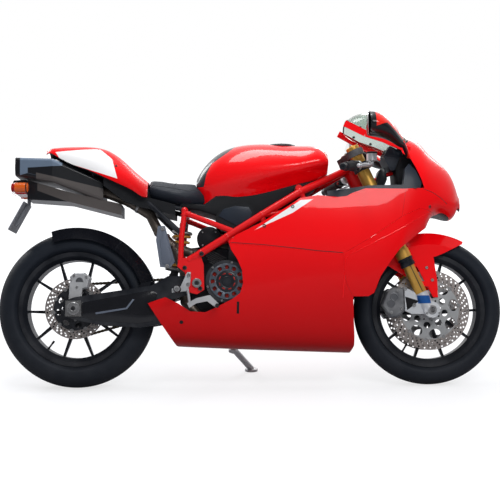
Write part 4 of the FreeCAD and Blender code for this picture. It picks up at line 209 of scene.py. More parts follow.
def finish(name, colour, mottle, rough, spread, metal, mottle_scale, grain_scale, grain_depth, mottle_amount=0.5,
           coat=0.0, coat_rough=0.04, clear=0.0, ior=1.45, specular=0.5, edge=(0.6, 0.6, 0.6), edge_amount=0.0,
           dust=0.0):
    """A material from the shared finish group, with its own values."""
    material = bpy.data.materials.new(name)
    material.use_nodes = True
    tree = material.node_tree
    look = add_node(tree, "ShaderNodeGroup", {
        "Colour": (*colour, 1), "Mottle Colour": (*mottle, 1), "Mottle Scale": mottle_scale,
        "Mottle Amount": mottle_amount, "Roughness": rough, "Roughness Spread": spread, "Grain Scale": grain_scale,
        "Grain Depth": grain_depth, "Edge Colour": (*edge, 1), "Edge Amount": edge_amount, "Dust Amount": dust,
    }, node_tree=FINISH_GROUP).outputs
    feed(tree, tree.nodes["Principled BSDF"], {
        "Base Color": look["Colour"], "Roughness": look["Roughness"], "Normal": look["Normal"], "Metallic": metal,
        "Coat Weight": coat, "Coat Roughness": coat_rough, "Transmission Weight": clear, "IOR": ior,
        "Specular IOR Level": specular})
    return material


# Zones: a second colour inside an outline, worked out from a point's upright place (x, distance from the middle, z)

SHARP_RIM = 0.0012
INNER_CORE = ((-0.50, 0, 0.64), (0.52, 0, 0.66))
INNER_LIMIT = -0.004


def outline_planes(outline, least_y):
    """Planes that a point is inside, from a convex outline of upright (x, z) millimetres."""
    planes = []
    middle = sum((Vector((x, z)) for x, z in outline), Vector((0, 0))) / len(outline)
    for index, (x, z) in enumerate(outline):
        next_x, next_z = outline[(index + 1) % len(outline)]
        across = Vector((next_z - z, 0, x - next_x)).normalized()
        if across.x * (middle.x - x) + across.z * (middle.y - z) < 0:
            across = -across
        planes.append((across, -(across.x * x + across.z * z) / 1000))
    if least_y is not None:
        planes.append((LEFT, -least_y / 1000))
    return planes


def turned_upright(group, kind):
    """A point's place ("Object") or normal ("Normal"), turned from the parked to the upright bike."""
    values = {"Vector": add_node(group, "ShaderNodeTexCoord").outputs[kind], "Rotation": PARKED_TO_UPRIGHT.to_euler()}
    if kind == "Object":
        values["Location"] = PARKED_TO_UPRIGHT.translation
    return add_node(group, "ShaderNodeMapping", values).outputs["Vector"]


def build_zone(name, outlines, least_y=None):
    """A group whose mask is 1 inside any of a few convex outlines, and no nearer the middle than least_y."""
    group = new_group(name, {"Softness": "Float"}, {"Mask": "Float"})
    given = add_node(group, "NodeGroupInput").outputs
    place = add_node(group, "ShaderNodeSeparateXYZ", {0: turned_upright(group, "Object")}).outputs
    folded = add_node(group, "ShaderNodeCombineXYZ", {
        "X": place["X"], "Y": maths(group, "ABSOLUTE", place["Y"]), "Z": place["Z"]}).outputs[0]
    areas = []
    for outline in outlines:
        depths = [maths(group, "ADD", vector_maths(group, "DOT_PRODUCT", folded, across, result="Value"), offset)
                  for across, offset in outline_planes(outline, least_y)]
        areas.append(reduce(lambda first, second: maths(group, "MINIMUM", first, second), depths))
    found = reduce(lambda first, second: maths(group, "MAXIMUM", first, second), areas)
    add_node(group, "NodeGroupOutput", {"Mask": maths(group, "DIVIDE", found, given["Softness"], clamp=True)})
    return group


def build_inner_faces():
    """A group whose mask is 1 on the faces of a shell that look at the bike's own middle."""
    group = new_group("inner_faces", {}, {"Mask": "Float"})
    upright = turned_upright(group, "Object")
    low, high = INNER_CORE
    core = vector_maths(group, "MINIMUM", vector_maths(group, "MAXIMUM", upright, low), high)
    away = vector_maths(group, "SUBTRACT", upright, core)
    facing = vector_maths(group, "DOT_PRODUCT", turned_upright(group, "Normal"), away, result="Value")
    add_node(group, "NodeGroupOutput", {"Mask": maths(group, "LESS_THAN", facing, INNER_LIMIT)})
    return group


def paint_zone(material, zone, colour, rough, softness):
    """A second colour and roughness where a zone's mask is 1."""
    tree = material.node_tree
    shader = tree.nodes["Principled BSDF"]
    mask = add_node(tree, "ShaderNodeGroup", node_tree=zone)
    if softness:
        mask.inputs["Softness"].default_value = softness
    for key, value, kind in (("Base Color", (*colour, 1), "RGBA"), ("Roughness", rough, "FLOAT")):
        first = shader.inputs[key].links[0].from_socket
        feed(tree, shader, {key: mixed(tree, kind, mask.outputs["Mask"], first, value)})


def add_ridges(material, name, axis, count_per_metre, depth):
    """Puts straight ridges across one axis, as fins have, on top of a material's own grain."""
    group = new_group(name, {}, {"Height": "Float"})
    rows = add_node(group, "ShaderNodeTexWave", {
        "Vector": add_node(group, "ShaderNodeTexCoord").outputs["Object"], "Scale": count_per_metre / 10 * math.pi,
    }, wave_type="BANDS", bands_direction=axis, wave_profile="SIN")
    add_node(group, "NodeGroupOutput", {"Height": rows.outputs["Fac"]})
    tree = material.node_tree
    shader = tree.nodes["Principled BSDF"]
    ridges = add_node(tree, "ShaderNodeGroup", node_tree=group)
    bump = add_node(tree, "ShaderNodeBump", {"Distance": depth, "Height": ridges.outputs["Height"],
                                             "Normal": shader.inputs["Normal"].links[0].from_socket})
    feed(tree, shader, {"Normal": bump.outputs["Normal"]})


RED = (0.86, 0.001, 0.004)
DEEP_RED = (0.70, 0.001, 0.003)
SHADE_RED = (0.30, 0.0006, 0.0012)
WHITE = (0.80, 0.79, 0.78)
SHELL_BLACK = (0.008, 0.009, 0.011)
PAINT = (RED, DEEP_RED, 0.3, 0.03, 0, 2.5, 260, 0.02,
         dict(coat=0.3, coat_rough=0.03, mottle_amount=0.35, specular=0.12))
LOOKS = (
    # finish, colour, mottled colour, roughness and its spread, metal, mottle scale, grain scale and depth, the rest
    ("red_gloss", RED, DEEP_RED, 0.3, 0.03, 0, 2.5, 260, 0.02,
     dict(coat=0.55, coat_rough=0.03, mottle_amount=0.35, specular=0.12)),
    *((name, *PAINT) for name in ("red_shell", "red_belly", "red_side", "red_tail")),
    ("red_tank", RED, DEEP_RED, 0.26, 0.03, 0, 2.5, 260, 0.015,
     dict(coat=0.6, coat_rough=0.02, mottle_amount=0.3, specular=0.2)),
    ("red_mirror", (0.76, 0.02, 0.008), RED, 0.28, 0.03, 0, 4, 260, 0.02,
     dict(coat=0.5, coat_rough=0.04, mottle_amount=0.4, specular=0.2)),
    ("red_frame", (0.66, 0.005, 0.007), DEEP_RED, 0.34, 0.08, 0, 9, 500, 0.06,
     dict(coat=0.5, coat_rough=0.08, edge=(0.3, 0.02, 0.02), edge_amount=0.5, specular=0.2)),
    ("black_satin", (0.007, 0.0085, 0.0125), (0.012, 0.015, 0.021), 0.34, 0.08, 0, 9, 700, 0.1,
     dict(coat=0.25, coat_rough=0.15, edge=(0.16, 0.16, 0.17), edge_amount=0.25, dust=0.05, specular=0.3)),
    ("black_plastic", SHELL_BLACK, (0.014, 0.015, 0.018), 0.5, 0.08, 0, 9, 1500, 0.35,
     dict(dust=0.05, specular=0.22)),
    ("slate_plastic", (0.016, 0.022, 0.034), (0.01, 0.014, 0.021), 0.38, 0.08, 0, 9, 1400, 0.2,
     dict(coat=0.12, coat_rough=0.2, specular=0.22)),
    ("black_gloss", (0.005, 0.0055, 0.008), (0.009, 0.01, 0.014), 0.18, 0.08, 0, 9, 400, 0.03,
     dict(coat=0.7, dust=0.04, specular=0.3)),
    ("tyre_rubber", (0.009, 0.012, 0.018), (0.015, 0.019, 0.027), 0.56, 0.14, 0, 14, 1100, 0.4,
     dict(dust=0.06, specular=0.2)),
    ("grip_rubber", (0.013, 0.013, 0.015), (0.00975, 0.00975, 0.01125), 0.7, 0.08, 0, 9, 1300, 0.5, {}),
    ("cast_alloy", (0.66, 0.67, 0.69), (0.48, 0.49, 0.51), 0.4, 0.14, 0.8, 22, 900, 0.45,
     dict(edge=(0.8, 0.8, 0.8), edge_amount=0.5, dust=0.15)),
    ("fork_foot", (0.7, 0.72, 0.75), (0.56, 0.58, 0.61), 0.34, 0.12, 0.6, 22, 900, 0.3,
     dict(edge=(0.85, 0.85, 0.85), edge_amount=0.5, dust=0.1)),
    ("dark_casting", (0.05, 0.052, 0.058), (0.028, 0.029, 0.034), 0.48, 0.15, 0.45, 18, 800, 0.6,
     dict(edge=(0.35, 0.35, 0.35), edge_amount=0.5, dust=0.25)),
    ("caliper_grey", (0.15, 0.155, 0.168), (0.09, 0.093, 0.102), 0.36, 0.1, 0.7, 20, 1200, 0.25,
     dict(edge_amount=0.5)),
    ("bright_steel", (0.66, 0.66, 0.67), (0.52, 0.52, 0.53), 0.24, 0.1, 1, 30, 1600, 0.12, {}),
    ("bolt_steel", (0.52, 0.52, 0.53), (0.34, 0.34, 0.35), 0.3, 0.12, 0.9, 60, 1600, 0.2, {}),
    ("black_bolt", (0.02, 0.02, 0.023), (0.05, 0.05, 0.054), 0.34, 0.12, 0.5, 60, 1600, 0.2,
     dict(edge=(0.4, 0.4, 0.4), edge_amount=0.4)),
    ("disc_steel", (0.5, 0.45, 0.43), (0.36, 0.31, 0.3), 0.32, 0.14, 0.85, 16, 2000, 0.15, {}),
    ("carrier_alloy", (0.6, 0.61, 0.62), (0.48, 0.49, 0.5), 0.34, 0.1, 0.85, 18, 1500, 0.15, {}),
    ("gold_alloy", (0.82, 0.47, 0.1), (0.7, 0.37, 0.08), 0.34, 0.08, 0.75, 12, 1400, 0.12, {}),
    ("spring_ochre", (0.7, 0.33, 0.05), (0.55, 0.26, 0.06), 0.4, 0.08, 0, 20, 900, 0.15, dict(coat=0.4)),
    ("blued_steel", (0.15, 0.175, 0.225), (0.085, 0.1, 0.13), 0.34, 0.12, 0.35, 10, 800, 0.12, {}),
    ("silencer_shell", (0.14, 0.19, 0.26), (0.1, 0.14, 0.2), 0.36, 0.1, 0.2, 7, 900, 0.15,
     dict(coat=0.35, coat_rough=0.15)),
    ("pipe_steel", (0.2, 0.17, 0.145), (0.09, 0.075, 0.07), 0.36, 0.2, 0.85, 14, 900, 0.2, {}),
    ("chain_steel", (0.3, 0.25, 0.17), (0.12, 0.1, 0.08), 0.36, 0.08, 0.85, 60, 1200, 0.3, {}),
    ("clutch_red", (0.5, 0.02, 0.012), (0.1, 0.006, 0.005), 0.34, 0.08, 0.4, 60, 900, 0.15, dict(mottle_amount=0.9)),
    ("clutch_ring", (0.06, 0.075, 0.1), (0.03, 0.036, 0.046), 0.34, 0.08, 0.4, 14, 900, 0.15,
     dict(edge=(0.4, 0.42, 0.45), edge_amount=0.5)),
    ("seat_vinyl", (0.012, 0.016, 0.024), (0.018, 0.023, 0.033), 0.52, 0.1, 0, 18, 1700, 0.6, dict(specular=0.4)),
    ("thread_grey", (0.05, 0.05, 0.055), (0.0375, 0.0375, 0.04125), 0.8, 0.08, 0, 9, 2600, 0.8, {}),
    ("lamp_reflector", (0.86, 0.87, 0.88), (0.78, 0.79, 0.8), 0.08, 0.04, 1, 9, 900, 0.01, {}),
    ("plate_grey", (0.17, 0.18, 0.2), (0.12, 0.125, 0.14), 0.42, 0.08, 0, 12, 900, 0.15, dict(dust=0.15)),
    ("radiator_black", (0.022, 0.022, 0.024), (0.04, 0.04, 0.043), 0.6, 0.08, 0.2, 9, 900, 0.3, {}),
    ("gauge_face", (0.02, 0.022, 0.025), (0.035, 0.037, 0.04), 0.3, 0.08, 0, 9, 900, 0.02, dict(coat=0.8)),
    ("gauge_mark", (0.75, 0.75, 0.72), (0.5625, 0.5625, 0.54), 0.5, 0.08, 0, 9, 900, 0.02, {}),
    ("mirror_glass", (0.8, 0.82, 0.84), (0.76, 0.78, 0.8), 0.03, 0.01, 1, 9, 900, 0, {}),
    ("screen_rubber", (0.01, 0.012, 0.016), (0.0075, 0.009, 0.012), 0.4, 0.08, 0, 9, 1300, 0.2, {}),
    ("valve_rubber", (0.02, 0.02, 0.022), (0.015, 0.015, 0.0165), 0.6, 0.08, 0, 9, 1300, 0.3, {}),
    ("screen_clear", (0.6, 0.68, 0.63), (0.54, 0.612, 0.567), 0.12, 0.03, 0, 3, 60, 0,
     dict(clear=1, ior=1.3, mottle_amount=0.3)),
    ("lens_clear", (0.93, 0.95, 0.96), (0.837, 0.855, 0.864), 0.03, 0.03, 0, 3, 60, 0,
     dict(clear=1, ior=1.3, mottle_amount=0.3)),
    ("lens_red", (0.62, 0.012, 0.008), (0.42, 0.008, 0.006), 0.12, 0.08, 0, 30, 300, 0.05,
     dict(clear=0.25, coat=0.8)),
)
FINISHES = {name: finish(name, *values, **extras) for name, *values, extras in LOOKS}
add_ridges(FINISHES["radiator_black"], "cooling_fins", "Z", 240, 0.002)

ZONES = (
    # painted in this order: finishes, zone, its least distance from the middle in millimetres, how far its rim
    # fades in metres, its colour and roughness, and its outlines (without any, it is the shells' inner faces)
    # painted shade: the nose, belly and side panels darken towards the ground
    (("red_belly", "red_side", "red_shell"), "painted_low_shade", None, 0.56, SHADE_RED, 0.34,
     [[(-3000, 600), (3000, 600), (3000, -3000), (-3000, -3000)]]),
    # painted shade: the tail cowl darkens towards its lower edge
    (("red_tail",), "painted_tail_shade", None, 0.16, SHADE_RED, 0.34, [[(-1000, 880), (0, 880), (0, 0), (-1000, 0)]]),
    (("red_tail",), "tail_patch", None, SHARP_RIM, WHITE, 0.3, [
        [(-792, 946), (-616, 962), (-596, 939), (-562, 914), (-548, 850), (-701, 884), (-757, 893)],
        [(-705, 885), (-616, 962), (-562, 914), (-538, 829)]]),
    (("red_side",), "side_wedge", None, SHARP_RIM, WHITE, 0.28, [
        [(-48, 582), (184, 731), (262, 737), (262, 728), (151, 679), (4, 582)]]),
    (("red_shell", "red_belly", "red_side", "red_tail"), "inner_faces", None, None, SHELL_BLACK, 0.5, None),
    (("red_shell",), "screen_strips", None, SHARP_RIM, RED, 0.3, [[(340, 1130), (620, 1010), (560, 925), (340, 985)]]),
    (("red_mirror",), "mirror_underside", None, SHARP_RIM, SHELL_BLACK, 0.4, [
        [(430, 1075), (461, 1075), (461, 940), (430, 940)],
        [(452, 984), (503, 1003), (612, 925), (620, 880), (452, 880)]]),
    (("red_tank",), "tank_rear_pad", None, SHARP_RIM, (0.020, 0.022, 0.027), 0.4, [
        [(-236, 800), (-216, 880), (-184, 853), (-196, 800)], [(-222, 866), (-190, 935), (-163, 894), (-184, 853)],
        [(-192, 925), (-134, 975), (-106, 934), (-163, 894)], [(-142, 968), (-134, 990), (-56, 980), (-106, 934)]]),
    (("silencer_shell",), "silencer_end_cap", None, SHARP_RIM, (0.009, 0.010, 0.013), 0.35, [
        [(-960, 945), (-930, 945), (-930, 835), (-960, 835)]]),
    (("silencer_shell",), "silencer_band", None, SHARP_RIM, (0.009, 0.010, 0.013), 0.35, [
        [(-900, 882), (-762, 888), (-520, 890), (-520, 760), (-857, 848), (-900, 858)],
        [(-762, 882), (-762, 1000), (-520, 1000), (-520, 882)],
        [(-968, 842), (-900, 860), (-857, 849), (-700, 760), (-700, 690), (-968, 690)]]),
    (("silencer_shell",), "silencer_under_panel", None, SHARP_RIM, (0.085, 0.074, 0.070), 0.42, [
        [(-866, 862), (-520, 778), (-520, 680), (-730, 740), (-866, 792)]]),
    (("lens_red",), "indicator_pods", 80, SHARP_RIM, (0.78, 0.13, 0.01), 0.14, [
        [(-948, 770), (-948, 830), (-880, 830), (-880, 770)]]),
    (("fork_foot",), "fork_foot_band", 100, SHARP_RIM, (0.02, 0.12, 0.42), 0.35, [
        [(650, 357), (702, 357), (706, 324), (656, 324)]]),
    # painted shade: a near-black triangle on the fork foot stands in for the shaded opening in its bracket
    (("fork_foot",), "painted_bracket_opening_shade", 90, SHARP_RIM, (0.01, 0.01, 0.012), 0.5, [[(604, 354), (662, 335), (611, 297)]]),
)
for looks, zone_name, least_y, softness, colour, rough, outlines in ZONES:
    zone = build_zone(zone_name, outlines, least_y) if outlines else build_inner_faces()
    for look in looks:
        paint_zone(FINISHES[look], zone, colour, rough, softness)

NODES_BY_FINISH = {
    "tyre_rubber": "front_tyre rear_tyre",
    "black_satin": "front_rim rear_rim handlebars subframe clutch_cover swingarm",
    "disc_steel": "front_discs rear_disc", "bright_steel": "rear_sprocket front_axle rear_axle",
    "chain_steel": "chain", "gold_alloy": "outer_tubes", "fork_foot": "fork_lowers", "caliper_grey": "front_calipers",
    "cast_alloy": "rear_caliper hand_levers footrests side_stand",
    "dark_casting": "yokes engine_block shock_absorber fuel_cap", "red_gloss": "front_mudguard",
    "black_gloss": "rear_mudguard", "red_frame": "frame_trellis", "spring_ochre": "shock_spring",
    "pipe_steel": "exhaust_pipes", "blued_steel": "heat_shield", "silencer_shell": "silencer",
    "black_plastic": "tail_tray airbox_covers", "red_tail": "tail_cowl", "seat_vinyl": "seat_pad",
    "red_tank": "fuel_tank", "lens_red": "rear_lamps", "plate_grey": "plate_holder",
    "red_shell": "nose_fairing vent_panels", "lamp_reflector": "headlamps", "screen_clear": "windscreen",
    "red_side": "side_panels", "red_belly": "belly_pans", "radiator_black": "radiator",
    "slate_plastic": "cockpit_panels", "red_mirror": "mirrors",
}


def dress_nodes():
    for look, names in NODES_BY_FINISH.items():
        for name in names.split():
            materials = frame["nodes"][name].data.materials
            materials.clear()
            materials.append(FINISHES[look])


# Floor, light and backdrop

FLOOR_SIZE = 40
FLOOR_GREY = (0.30, 0.30, 0.31, 1)
FLOOR_GLOW = 0.70
FLOOR_FADE = (1.0, 3.2)
WORLD_TINT = (0.90, 0.93, 1.0, 1)
WORLD_LIGHT = 0.62
ROOM_DARK = 0.08
ROOM_FADE = (-0.25, 0.60)
PURE_WHITE = (1, 1, 1, 1)

SOFTBOXES = (
    # light, place, what it looks at, size in metres, power in watts, and whether glossy surfaces mirror it
    ("key_softbox", (1.4, -3.4, 3.6), (0, 0, 0.5), (2.2, 1.2), 78, True),
    ("top_softbox", (-0.4, 0.2, 4.2), (0, 0, 0.4), (3.4, 0.9), 80, True),
    ("rear_softbox", (-2.8, 2.6, 2.6), (0, 0, 0.5), (2.0, 1.2), 50, True),
    ("left_softbox", (1.8, 3.4, 2.4), (0, 0, 0.5), (2.2, 1.4), 45, True),
    ("near_softbox", (0.2, -4.6, 0.9), (0, 0, 0.45), (4.0, 0.9), 30, False),
)


def add_area_light(name, place, target, size, power, mirrored):
    data = bpy.data.lights.new(name, "AREA")
    data.shape = "RECTANGLE"
    data.size, data.size_y = size
    data.energy = power
    light = bpy.data.objects.new(name, data)
    bpy.context.scene.collection.objects.link(light)
    light.location = place
    light.rotation_euler = (Vector(target) - Vector(place)).to_track_quat("-Z", "Y").to_euler()
    light.visible_glossy = mirrored


def add_floor():
    """A matt floor that the camera sees fading into white."""
    floor = started(bpy.ops.mesh.primitive_plane_add, size=FLOOR_SIZE)
    floor.name = "studio_floor"
    material = bpy.data.materials.new("floor_white")
    material.use_nodes = True
    tree = material.node_tree
    shader = feed(tree, tree.nodes["Principled BSDF"], {"Base Color": FLOOR_GREY, "Roughness": 0.9,
                                                        "Specular IOR Level": 0.0})
    place = add_node(tree, "ShaderNodeTexCoord").outputs["Object"]
    reach = vector_maths(tree, "LENGTH", place, result="Value")
    strength = maths(tree, "MULTIPLY", add_node(tree, "ShaderNodeLightPath").outputs["Is Camera Ray"],
                     map_range(tree, reach, *FLOOR_FADE, FLOOR_GLOW, 1.0))
    glow = add_node(tree, "ShaderNodeEmission", {"Color": PURE_WHITE, "Strength": strength})
    both = add_node(tree, "ShaderNodeAddShader", {0: shader.outputs[0], 1: glow.outputs[0]})
    feed(tree, tree.nodes["Material Output"], {"Surface": both.outputs[0]})
    floor.data.materials.append(material)


def add_world():
    """White to the camera, to reflections and through glass, but dimmer as a light and dark in front."""
    world = bpy.data.worlds.new("studio_world")
    bpy.context.scene.world = world
    world.use_nodes = True
    tree = world.node_tree
    lit = feed(tree, tree.nodes["Background"], {"Color": WORLD_TINT, "Strength": WORLD_LIGHT})
    direction = add_node(tree, "ShaderNodeTexCoord").outputs["Generated"]
    across = add_node(tree, "ShaderNodeSeparateXYZ", {0: direction}).outputs["Y"]
    path = add_node(tree, "ShaderNodeLightPath").outputs
    whiter = maths(tree, "MAXIMUM", path["Is Camera Ray"], map_range(tree, across, *ROOM_FADE, ROOM_DARK, 1.0))
    seen = add_node(tree, "ShaderNodeBackground", {"Color": PURE_WHITE, "Strength": whiter})
    shown = maths(tree, "MAXIMUM", maths(tree, "MAXIMUM", path["Is Camera Ray"], path["Is Glossy Ray"]),
                  path["Is Transmission Ray"])
    mix = add_node(tree, "ShaderNodeMixShader", {0: shown, 1: lit.outputs[0], 2: seen.outputs[0]})
    feed(tree, tree.nodes["World Output"], {0: mix.outputs[0]})


def add_studio():
    add_floor()
    add_world()
    for softbox in SOFTBOXES:
        add_area_light(*softbox)


# Modelling by hand: each piece is started upright, shaped in edit mode, then leaned into place

MERGE_DISTANCE = 1e-6
SEED_SIZE = 0.001
BEVEL_LIMIT = math.radians(32)


def only(piece):
    bpy.ops.object.select_all(action="DESELECT")
    piece.select_set(True)
    bpy.context.view_layer.objects.active = piece


def started(add, **settings):
    """The new object that one of the add operators makes."""
    bpy.ops.object.select_all(action="DESELECT")
    add(**settings)
    return bpy.context.object


def start_edit(piece):
    only(piece)
    bpy.ops.object.mode_set(mode="EDIT")
    bpy.ops.mesh.select_all(action="DESELECT")
    return bmesh.from_edit_mesh(piece.data)


def end_edit():
    bpy.ops.object.mode_set(mode="OBJECT")


def face_outward():
    """In edit mode, selects the whole piece and turns its faces outward."""
    bpy.ops.mesh.select_all(action="SELECT")
    bpy.ops.mesh.normals_make_consistent(inside=False)


def turn_to(direction):
    """The turn that takes +Z to a direction."""
    return Vector(direction).to_track_quat("Z", "Y").to_matrix().to_4x4()


def settle(piece):
    """Puts a piece's place into its mesh."""
    flipped = piece.matrix_world.determinant() < 0
    piece.data.transform(piece.matrix_world)
    piece.matrix_world = Matrix.Identity(4)
    if flipped:
        piece.data.flip_normals()
    return piece


def keep_piece(piece, name, body, look, smooth=35):
    """Leans a finished piece into place, gives it its finish, and lets it ride on its body."""
    piece.name = name
    piece.data.name = name
    settle(piece)
    piece.data.transform(UPRIGHT_TO_PARKED)
    piece.data.materials.clear()
    piece.data.materials.append(FINISHES[look])
    only(piece)
    bpy.ops.object.shade_smooth_by_angle(angle=math.radians(smooth))
    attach(piece, body)
    return piece


def apply_change(piece, kind, **settings):
    """Adds a modifier, sets it, and applies it."""
    change = piece.modifiers.new(kind.lower(), kind)
    for key, value in settings.items():
        setattr(change, key, value)
    only(piece)
    bpy.ops.object.modifier_apply(modifier=change.name)
    return piece


def rounded(piece, width, segments=2):
    return apply_change(piece, "BEVEL", width=width / 1000, segments=segments, limit_method="ANGLE",
                        angle_limit=BEVEL_LIMIT)


def join_pieces(pieces):
    for piece in pieces:
        settle(piece)
    bpy.ops.object.select_all(action="DESELECT")
    for piece in pieces:
        piece.select_set(True)
    bpy.context.view_layer.objects.active = pieces[0]
    if len(pieces) > 1:
        bpy.ops.object.join()
    return bpy.context.view_layer.objects.active


def duplicate(pattern, place):
    """A copy of a piece with its own mesh, at a place given as a matrix."""
    copy = pattern.copy()
    copy.data = pattern.data.copy()
    bpy.context.scene.collection.objects.link(copy)
    copy.matrix_world = place
    return copy


def spread_out(pattern, frames):
    """Copies of a pattern piece at places given as matrices, joined; the pattern itself goes."""
    copies = [duplicate(pattern, place) for place in frames]
    bpy.data.objects.remove(pattern)
    return join_pieces(copies)


def copy_at(pattern, places):
    """Copies of a pattern piece at points, with its Z along a direction."""
    return spread_out(pattern, [Matrix.Translation(point) @ turn_to(direction) for point, direction in places])


def with_mirrored(piece):
    """The same piece again on the bike's left side, joined to the first."""
    settle(piece)
    return join_pieces([piece, duplicate(piece, Matrix.Scale(-1, 4, LEFT))])


def cut_away(piece, cutters):
    """Cuts the room of the cutters out of a piece."""
    cutter = join_pieces(cutters)
    apply_change(piece, "BOOLEAN", operation="DIFFERENCE", solver="EXACT", object=cutter)
    bpy.data.objects.remove(cutter)
    return piece


def turned(profile, steps=32):
    """A turned piece about Z: its profile of (radius, height) millimetres is drawn point by point, then spun.

    A profile that keeps off the axis at both ends is closed to a ring.
    """
    points = list(profile)
    if points[0][0] > 0 and points[-1][0] > 0:
        points.append(points[0])
    piece = started(bpy.ops.mesh.primitive_plane_add, size=SEED_SIZE)
    bpy.ops.object.mode_set(mode="EDIT")
    bpy.ops.mesh.select_mode(type="VERT")
    bpy.ops.mesh.select_all(action="SELECT")
    bpy.ops.mesh.merge(type="CENTER")
    here = Vector((0, 0))
    for index, point in enumerate(points):
        there = Vector(point) / 1000
        step = (there.x - here.x, 0, there.y - here.y)
        if index == 0:
            bpy.ops.transform.translate(value=step)
        else:
            bpy.ops.mesh.extrude_region_move(TRANSFORM_OT_translate={"value": step})
        here = there
    bpy.ops.mesh.select_all(action="SELECT")
    bpy.ops.mesh.spin(steps=steps, angle=2 * math.pi, center=(0, 0, 0), axis=(0, 0, 1))
    bpy.ops.mesh.select_all(action="SELECT")
    bpy.ops.mesh.remove_doubles(threshold=MERGE_DISTANCE)
    face_outward()
    end_edit()
    return piece


def add_turned(name, profile, steps, places, look, body="chassis", smooth=35, mirrored=False):
    """A turned piece at each of its places, kept as one."""
    piece = copy_at(turned(profile, steps), places)
    return keep_piece(with_mirrored(piece) if mirrored else piece, name, body, look, smooth)


def flat_piece(outline, near, far, edge=1.0, segments=2):
    """A plate with an outline of upright (x, z) millimetres, from one side to another, its rims rounded."""
    piece = started(bpy.ops.mesh.primitive_circle_add, vertices=len(outline), fill_type="NGON")
    mesh = start_edit(piece)
    mesh.verts.ensure_lookup_table()
    for point, (x, z) in zip(mesh.verts, outline):
        point.co = mm(x, near, z)
    bmesh.update_edit_mesh(piece.data)
    bpy.ops.mesh.select_all(action="SELECT")
    bpy.ops.mesh.extrude_region_move(TRANSFORM_OT_translate={"value": (0, (far - near) / 1000, 0)})
    face_outward()
    end_edit()
    return rounded(piece, edge, segments) if edge else piece


def bent_tube(points, radius, sides=3, steps=8):
    """A round tube or wire along a smooth line through upright millimetre points."""
    path = started(bpy.ops.curve.primitive_nurbs_path_add)
    path.data.splines.clear()
    line = path.data.splines.new("NURBS")
    line.points.add(len(points) - 1)
    for point, place in zip(line.points, points):
        point.co = (*(Vector(place) / 1000), 1)
    line.order_u = 3
    line.use_endpoint_u = True
    line.resolution_u = steps
    path.data.bevel_depth = radius / 1000
    path.data.bevel_resolution = sides
    path.data.use_fill_caps = True
    bpy.ops.object.convert(target="MESH")
    piece = bpy.context.object
    start_edit(piece)
    bpy.ops.mesh.select_all(action="SELECT")
    bpy.ops.mesh.remove_doubles(threshold=MERGE_DISTANCE)
    face_outward()
    end_edit()
    return piece


def soft_box(size, edge=2.0, segments=3, taper=1.0):
    """A block of (x, y, z) millimetres about the origin with soft rims, narrower at its top by a share."""
    piece = started(bpy.ops.mesh.primitive_cube_add, size=1)
    piece.matrix_world = Matrix.Diagonal((*(Vector(size) / 1000), 1))
    settle(piece)
    mesh = start_edit(piece)
    bpy.context.tool_settings.mesh_select_mode = (False, False, True)
    for face in mesh.faces:
        face.select_set(face.normal.z > 0.9)
    mesh.select_flush_mode()
    bmesh.update_edit_mesh(piece.data)
    bpy.ops.transform.resize(value=(taper, taper, 1), center_override=(0, 0, 0))
    end_edit()
    return rounded(piece, edge, segments)


SKINS = {}
CAST_FROM = 480
NEAREST_FROM = 300


def skin_tree(mesh):
    """A search tree of a parked mesh, turned upright."""
    return BVHTree.FromPolygons([PARKED_TO_UPRIGHT @ v.co for v in mesh.vertices],
                                [tuple(p.vertices) for p in mesh.polygons])


def skin_place(node, x, z, side=-1):
    """Where a line from the side at an upright (x, z) first meets a part of the bike, and its outward normal."""
    if node not in SKINS:
        SKINS[node] = skin_tree(frame["nodes"][node].data)
    hit, normal, _, _ = SKINS[node].ray_cast(mm(x, side * CAST_FROM, z), Vector((0, -side, 0)))
    if hit is None:
        hit, normal, _, _ = SKINS[node].find_nearest(mm(x, side * NEAREST_FROM, z))
    if normal.y * side < 0:
        normal = -normal
    return hit, normal


def skin_places(node, spots):
    """Places on both sides of a part's skin, spot by spot."""
    return [skin_place(node, x, z, side) for x, z in spots for side in SIDES]


def cap_screw(radius, height):
    """A round head with a soft rim and a socket in its middle."""
    return turned([(0, -1), (radius, -1), (radius, height * 0.6), (radius * 0.86, height), (radius * 0.55, height),
                   (radius * 0.5, height - radius * 0.5), (0, height - radius * 0.5)], 16)


def hex_nut(radius, height):
    """A six-sided head on a round washer, with a stud end in its middle."""
    washer = turned([(0, -0.5), (radius * 1.25, -0.5), (radius * 1.25, radius * 0.16), (0, radius * 0.16)], 20)
    head = turned([(0, 0), (radius, 0), (radius, height * 0.85), (radius * 0.86, height), (radius * 0.45, height),
                   (radius * 0.4, height - radius * 0.25), (0, height - radius * 0.25)], 6)
    return join_pieces([washer, head])


def add_screws(name, places, radius, height, body="chassis", look="bolt_steel", nut=False):
    pattern = hex_nut(radius, height) if nut else cap_screw(radius, height)
    return keep_piece(copy_at(pattern, places), name, body, look)


# Wheels: tyres with slanted grooves, drilled discs on open carriers, valve stems

TYRE_STEPS = 144
TYRE_NECK = 229.5
BEAD_RADIUS = 219.5
CROWN_STEPS = 16
WALL_STEPS = 5
GROOVES = 20
GROOVE_RADIUS = 0.0017
GROOVE_SINK = 0.0006  # how far a groove's middle stands outside the crown
GROOVE_SLANT = 34
GROOVE_ARCS = ((20, 66), (10, 52))  # degrees from the crown, in turn
DISC_HOLE = 4.1
DISC_STEPS, CARRIER_STEPS = 120, 96
CARRIER_THICKNESS, CARRIER_LAP = 4.0, 5
BUTTONS, DISC_BOLTS = 10, 6
VALVE_RADIUS = 0.196
AXLE_TURN = turn_about("X", 90)  # lays a wheel's own Z along its axle


